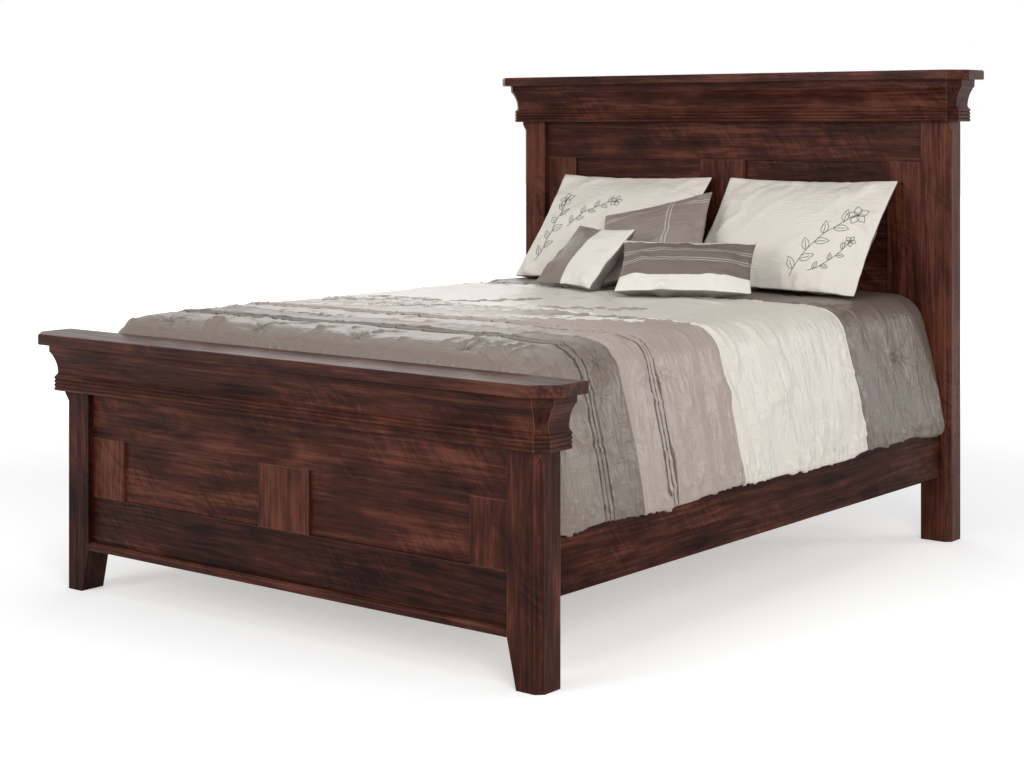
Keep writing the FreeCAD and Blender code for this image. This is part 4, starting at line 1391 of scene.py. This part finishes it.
    def embroider(self) -> None:
        """Sew the tufts' stars and the sprigs over the rose and cream bands."""
        stars = []
        for middle, line in self.tuft_places():
            for ray in range(4):
                turn = ray * math.pi / 4 + line * 9
                reach = self.star_reaches[ray % 2]
                x, y = math.cos(turn) * reach, math.sin(turn) * reach
                stars.append([(middle - x, line - y), (middle + x, line + y)])
        Needlework("comforter_tufts", "comforter_satin", ThreadFinish("tuft_thread", DARK_THREAD),
                   radius=0.0013).sew(self.at, stars)
        for name, colour, sprigs in (("white", WHITE_THREAD, self.white_sprigs),
                                     ("pale", THREAD, self.pale_sprigs)):
            lines = [line for place in sprigs for line in Sprig(*place).lines()]
            floss = ThreadFinish(name + "_floss", colour)
            Needlework("comforter_sprigs_" + name, "comforter_satin", floss, radius=0.0014,
                       lift=0.0008).sew(self.at, lines)

    def lining(self, points: np.ndarray, columns: np.ndarray) -> np.ndarray:
        """Shape the lining: the cover drawn in by its thickness, without its creases."""
        x, y, z = np.moveaxis(points[columns], 2, 0)
        plain_x, _, plain_z = np.median(points[columns][:, 20:-20], axis=1).T
        inner_x = np.sign(plain_x) * np.clip(np.abs(plain_x) - self.shell, 0, None)
        inner_x = np.where(plain_z > 0.74, plain_x * 0.968, inner_x)[:, None]
        inner_z = np.where(plain_z > 0.70, plain_z - self.shell, plain_z)[:, None]
        lined = np.stack((np.sign(inner_x) * np.minimum(np.abs(inner_x), np.abs(x)), y,
                          np.minimum(inner_z, z)), 2)
        return lined

    def faces(self, outer: np.ndarray, inner: np.ndarray, wall: int, high: np.ndarray) -> list:
        """Join the cover's and the lining's points into one closed skin.

        Args:
            outer: the numbers of the cover's points, by section and station.
            inner: the same for the lining.
            wall: the station at which the lining of the top ends, at the foot.
            high: which of the lining's columns lie above the drop at the foot.

        Returns:
            The faces, the cover's first.
        """
        made = np.stack((outer[:-1, :-1], outer[1:, :-1], outer[1:, 1:], outer[:-1, 1:]), 2)
        made = made.reshape(-1, 4).tolist()
        rows = outer.shape[1]
        for k in range(len(inner) - 1):
            for j in range(wall if high[k] and high[k + 1] else 0, rows - 1):
                made.append((inner[k, j], inner[k, j + 1], inner[k + 1, j + 1], inner[k + 1, j]))
        for j in range(rows - 1):
            made.append((outer[0, j], outer[0, j + 1], inner[0, j + 1], inner[0, j]))
            made.append((outer[-1, j + 1], outer[-1, j], inner[-1, j], inner[-1, j + 1]))
        first, last = np.flatnonzero(high)[[0, -1]]
        made.append([*outer[::-1, 0], *inner[:first + 1, 0], *inner[last:, 0]])
        made.append([*outer[:, -1], *inner[::-1, -1]])
        made.append([*inner[last:first - 1 if first else None:-1, wall]])
        for j in range(wall):
            made.append((inner[first, j], inner[first, j + 1], inner[last, j + 1], inner[last, j]))
        return [[int(n) for n in face] for face in made]

    def build(self) -> Piece:
        """Build and dress the comforter.

        Returns:
            The finished piece.
        """
        points, flat_u, flat_v = self.surface()
        columns, rows = points.shape[:2]
        lining = np.unique(np.concatenate((np.arange(3, columns - 3, 9), [columns - 4])))
        lined = self.lining(points, lining)
        outer = np.arange(columns * rows).reshape(columns, rows)
        inner = columns * rows + np.arange(len(lining) * rows).reshape(len(lining), rows)
        wall = int(np.argmin(np.abs(points[0, :, 1] - (self.foot + 0.014))))
        high = lined[:, rows // 2, 2] > self.drop_level
        everything = np.concatenate((points.reshape(-1, 3), lined.reshape(-1, 3)))
        mesh = bpy.data.meshes.new("comforter_cover")
        mesh.from_pydata(everything.tolist(), [], self.faces(outer, inner, wall, high))
        flats = np.zeros((len(everything), 2))
        flats[:outer.size] = np.stack((flat_u.ravel(), flat_v.ravel()), 1)
        loops = np.empty(len(mesh.loops), np.int32)
        mesh.loops.foreach_get("vertex_index", loops)
        layer = mesh.uv_layers.new(name=FLAT)
        layer.data.foreach_set("uv", flats[loops].astype(np.float32).ravel())
        piece = bpy.data.objects.new("comforter_cover", mesh)
        bpy.context.scene.collection.objects.link(piece)
        pick(piece)
        bpy.ops.object.mode_set(mode="EDIT")
        bpy.ops.mesh.select_all(action="SELECT")
        bpy.ops.mesh.normals_make_consistent(inside=False)
        bpy.ops.object.mode_set(mode="OBJECT")
        bpy.ops.object.shade_smooth()
        slots = np.ones(len(mesh.polygons), np.int32)
        slots[:(columns - 1) * (rows - 1)] = 0
        mesh.polygons.foreach_set("material_index", slots)
        self.dress(piece)
        self.embroider()
        log.info("comforter: %d points", len(everything))
        return piece

    def dress(self, piece: Piece) -> None:
        """Give the comforter its banded satin and its lining, and enter it in the frame."""
        length = self.head - self.foot
        starts = (self.foot, self.tuck_lines[2], *self.seam_lines)
        colours = (TAUPE, DARK_TAUPE, ROSE_TAUPE, CREAM, DARK_TAUPE)
        panels = tuple(Panel((start - self.foot) / length, colour)
                       for start, colour in zip(starts, colours))
        rows = []
        # The tucks' folds are painted dark in the satin: painted shade beside the ridges of the
        # geometry.
        for group in (self.tuck_lines[:3], self.tuck_lines[3:]):
            pitch = (group[-1] - group[0]) / 2
            rows.append(PaintedTuckLines(group[1] - self.tuck_lean - self.foot, pitch, 2.6 * pitch,
                                 self.tuck_width, strength=0.78))
        satin = ClothFinish("banded_satin", panels, rows=tuple(rows), crease=self.crease,
                            roughness=0.36, specular=0.4)
        lining = ClothFinish("comforter_lining", (Panel(0.0, TAUPE),))
        size = (self.cloth_width, length)
        for number, cloth in enumerate((satin, lining)):
            piece.data.materials.append(cloth.material(self.weave, size, 21.0 + number))
        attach(piece, "bed")
        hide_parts("comforter")


# ------------------------------------------------------------------ mattress and foundation


@dataclass
class BoxCover:
    """A mattress or foundation: a soft block in a plain cover with rounded edges."""

    name: str
    node: str
    slot: str
    colour: Colour
    edge: float
    weave: Tree

    def build(self) -> Piece:
        """Build the cover.

        Returns:
            The finished piece.
        """
        low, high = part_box(self.node)
        bpy.ops.mesh.primitive_cube_add(size=1.0)
        piece = bpy.context.object
        piece.name = self.name
        piece.data.uv_layers[0].name = FLAT
        size = np.array(high - low)
        set_points(piece, points_of(piece) * size + np.array((low + high) / 2))
        finish_modifier(piece, "BEVEL", width=self.edge, segments=6, limit_method="NONE")
        bpy.ops.object.shade_smooth()
        finish = ClothFinish(self.name, (Panel(0.0, self.colour),))
        paint(piece, finish.material(self.weave, tuple(map(float, size[:2])), 40.0))
        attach(piece, "bed")
        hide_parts(self.node)
        log.info("%s: built", self.name)
        return piece


# ------------------------------------------------------------------ studio


@dataclass(frozen=True)
class Softbox:
    """One soft lamp and what it points at."""

    name: str
    place: Triple
    aim: Triple
    size: tuple[float, float]
    power: float


@dataclass
class Studio:
    """A pale floor, a white surround, soft lamps and the camera."""

    camera_place: Triple = (3.6818, -4.7240, 1.3474)
    camera_turn: float = math.radians(38.462)
    lens: float = 68.60
    sensor: float = 36.0
    image_size: tuple[int, int] = (1024, 768)
    horizon_row: float = 124.85
    floor_size: float = 60.0
    floor_white: Colour = (0.88, 0.88, 0.88)
    floor_lift: float = 0.39
    lift_start: float = 2.2
    lift_end: float = 6.0
    surround: Colour = (1.0, 1.0, 1.0)
    fill_strength: float = 0.34
    lamps: tuple[Softbox, ...] = (
        Softbox("overhead", (0.4, -0.4, 4.2), (0.0, 0.0, 0.4), (4.5, 4.5), 50.0),
        Softbox("front_right", (4.6, -4.2, 2.4), (0.4, 0.0, 0.5), (2.2, 2.2), 160.0),
        Softbox("back_right", (4.4, 4.6, 1.9), (0.8, 0.0, 0.5), (1.0, 1.8), 48.0),
        Softbox("front_left", (-2.2, -8.0, 2.8), (0.0, 0.6, 0.7), (3.6, 3.0), 210.0),
        Softbox("back", (-3.8, 4.2, 3.0), (0.0, 0.4, 0.8), (3.0, 2.4), 30.0),
    )

    def ray_share(self, bench: Bench) -> Socket:
        """Tell camera, mirror and glass rays from the light that falls on things."""
        path = bench.node("LightPath")
        seen = bench.math("MAXIMUM", path.outputs["Is Camera Ray"], path.outputs["Is Glossy Ray"])
        return bench.math("MAXIMUM", seen, path.outputs["Is Transmission Ray"])

    def build_world(self) -> None:
        """Make the surround: white to look at, and a soft even fill as light."""
        world = bpy.data.worlds.new("surround")
        bpy.context.scene.world = world
        world.use_nodes = True
        bench = Bench(world.node_tree)
        background = world.node_tree.nodes["Background"]
        background.inputs["Color"].default_value = (*self.surround, 1.0)
        fill = bench.math("MULTIPLY_ADD", self.ray_share(bench), 1.0 - self.fill_strength,
                          self.fill_strength)
        bench.feed(background.inputs["Strength"], fill)

    def build_floor(self) -> None:
        """Make the pale floor, which keeps the bed's shadow."""
        bpy.ops.mesh.primitive_plane_add(size=self.floor_size)
        floor = bpy.context.object
        floor.name = "studio_floor"
        material = bpy.data.materials.new("pale_floor")
        material.use_nodes = True
        bench = Bench(material.node_tree)
        bench.tree.nodes.clear()
        place = bench.node("TexCoord").outputs["Object"]
        away = bench.node("VectorMath", {0: place}, operation="LENGTH").outputs["Value"]
        glow = bench.between(away, self.lift_start, self.lift_end, self.floor_lift, 1.0)
        paper = bench.node("BsdfDiffuse", {"Color": self.floor_white})
        strength = bench.math("MULTIPLY", self.ray_share(bench), glow)
        lift = bench.node("Emission", {"Color": self.surround, "Strength": strength})
        both = bench.node("AddShader", {0: paper.outputs[0], 1: lift.outputs[0]})
        out = bench.node("OutputMaterial", {"Surface": both.outputs[0]})
        out.is_active_output = True
        paint(floor, material)

    def build_lamps(self) -> None:
        """Hang the soft lamps."""
        for lamp in self.lamps:
            bpy.ops.object.light_add(type="AREA", location=lamp.place)
            made = bpy.context.object
            made.name = lamp.name
            made.data.shape = "RECTANGLE"
            made.data.size, made.data.size_y = lamp.size
            made.data.energy = lamp.power
            aim = Vector(lamp.aim) - Vector(lamp.place)
            made.rotation_euler = aim.to_track_quat("-Z", "Y").to_euler()

    def build_camera(self) -> None:
        """Stand the camera level, with its frame shifted down from the horizon."""
        bpy.ops.object.camera_add(location=self.camera_place,
                                  rotation=(math.pi / 2, 0, self.camera_turn))
        camera = bpy.context.object
        camera.name = "view_camera"
        camera.data.lens = self.lens
        camera.data.sensor_width = self.sensor
        width, height = self.image_size
        camera.data.shift_y = -(height / 2 - self.horizon_row) / width
        bpy.context.scene.camera = camera

    def build(self) -> None:
        """Build the whole studio."""
        bpy.context.scene.view_settings.view_transform = "Standard"
        self.build_world()
        self.build_floor()
        self.build_lamps()
        self.build_camera()
        log.info("studio: floor, surround, %d lamps and camera", len(self.lamps))


def main() -> None:
    """Dress the frame and build the bedding and the studio."""
    logging.basicConfig(level=logging.INFO, format="%(name)s: %(message)s")
    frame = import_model()
    bpy.ops.object.select_all(action="DESELECT")
    nodes = frame["nodes"]
    Studio().build()
    Joinery(nodes).dress()
    Hardware(nodes).dress()
    weave = satin_weave()
    BoxCover("mattress_cover", "mattress", "mattress_ticking", TICKING, edge=0.085,
             weave=weave).build()
    BoxCover("foundation_cover", "foundation", "foundation_cloth", FOUNDATION_CLOTH, edge=0.014,
             weave=weave).build()
    Comforter(weave).build()
    Cushions(weave).build()


if __name__ == "__main__":
    main()
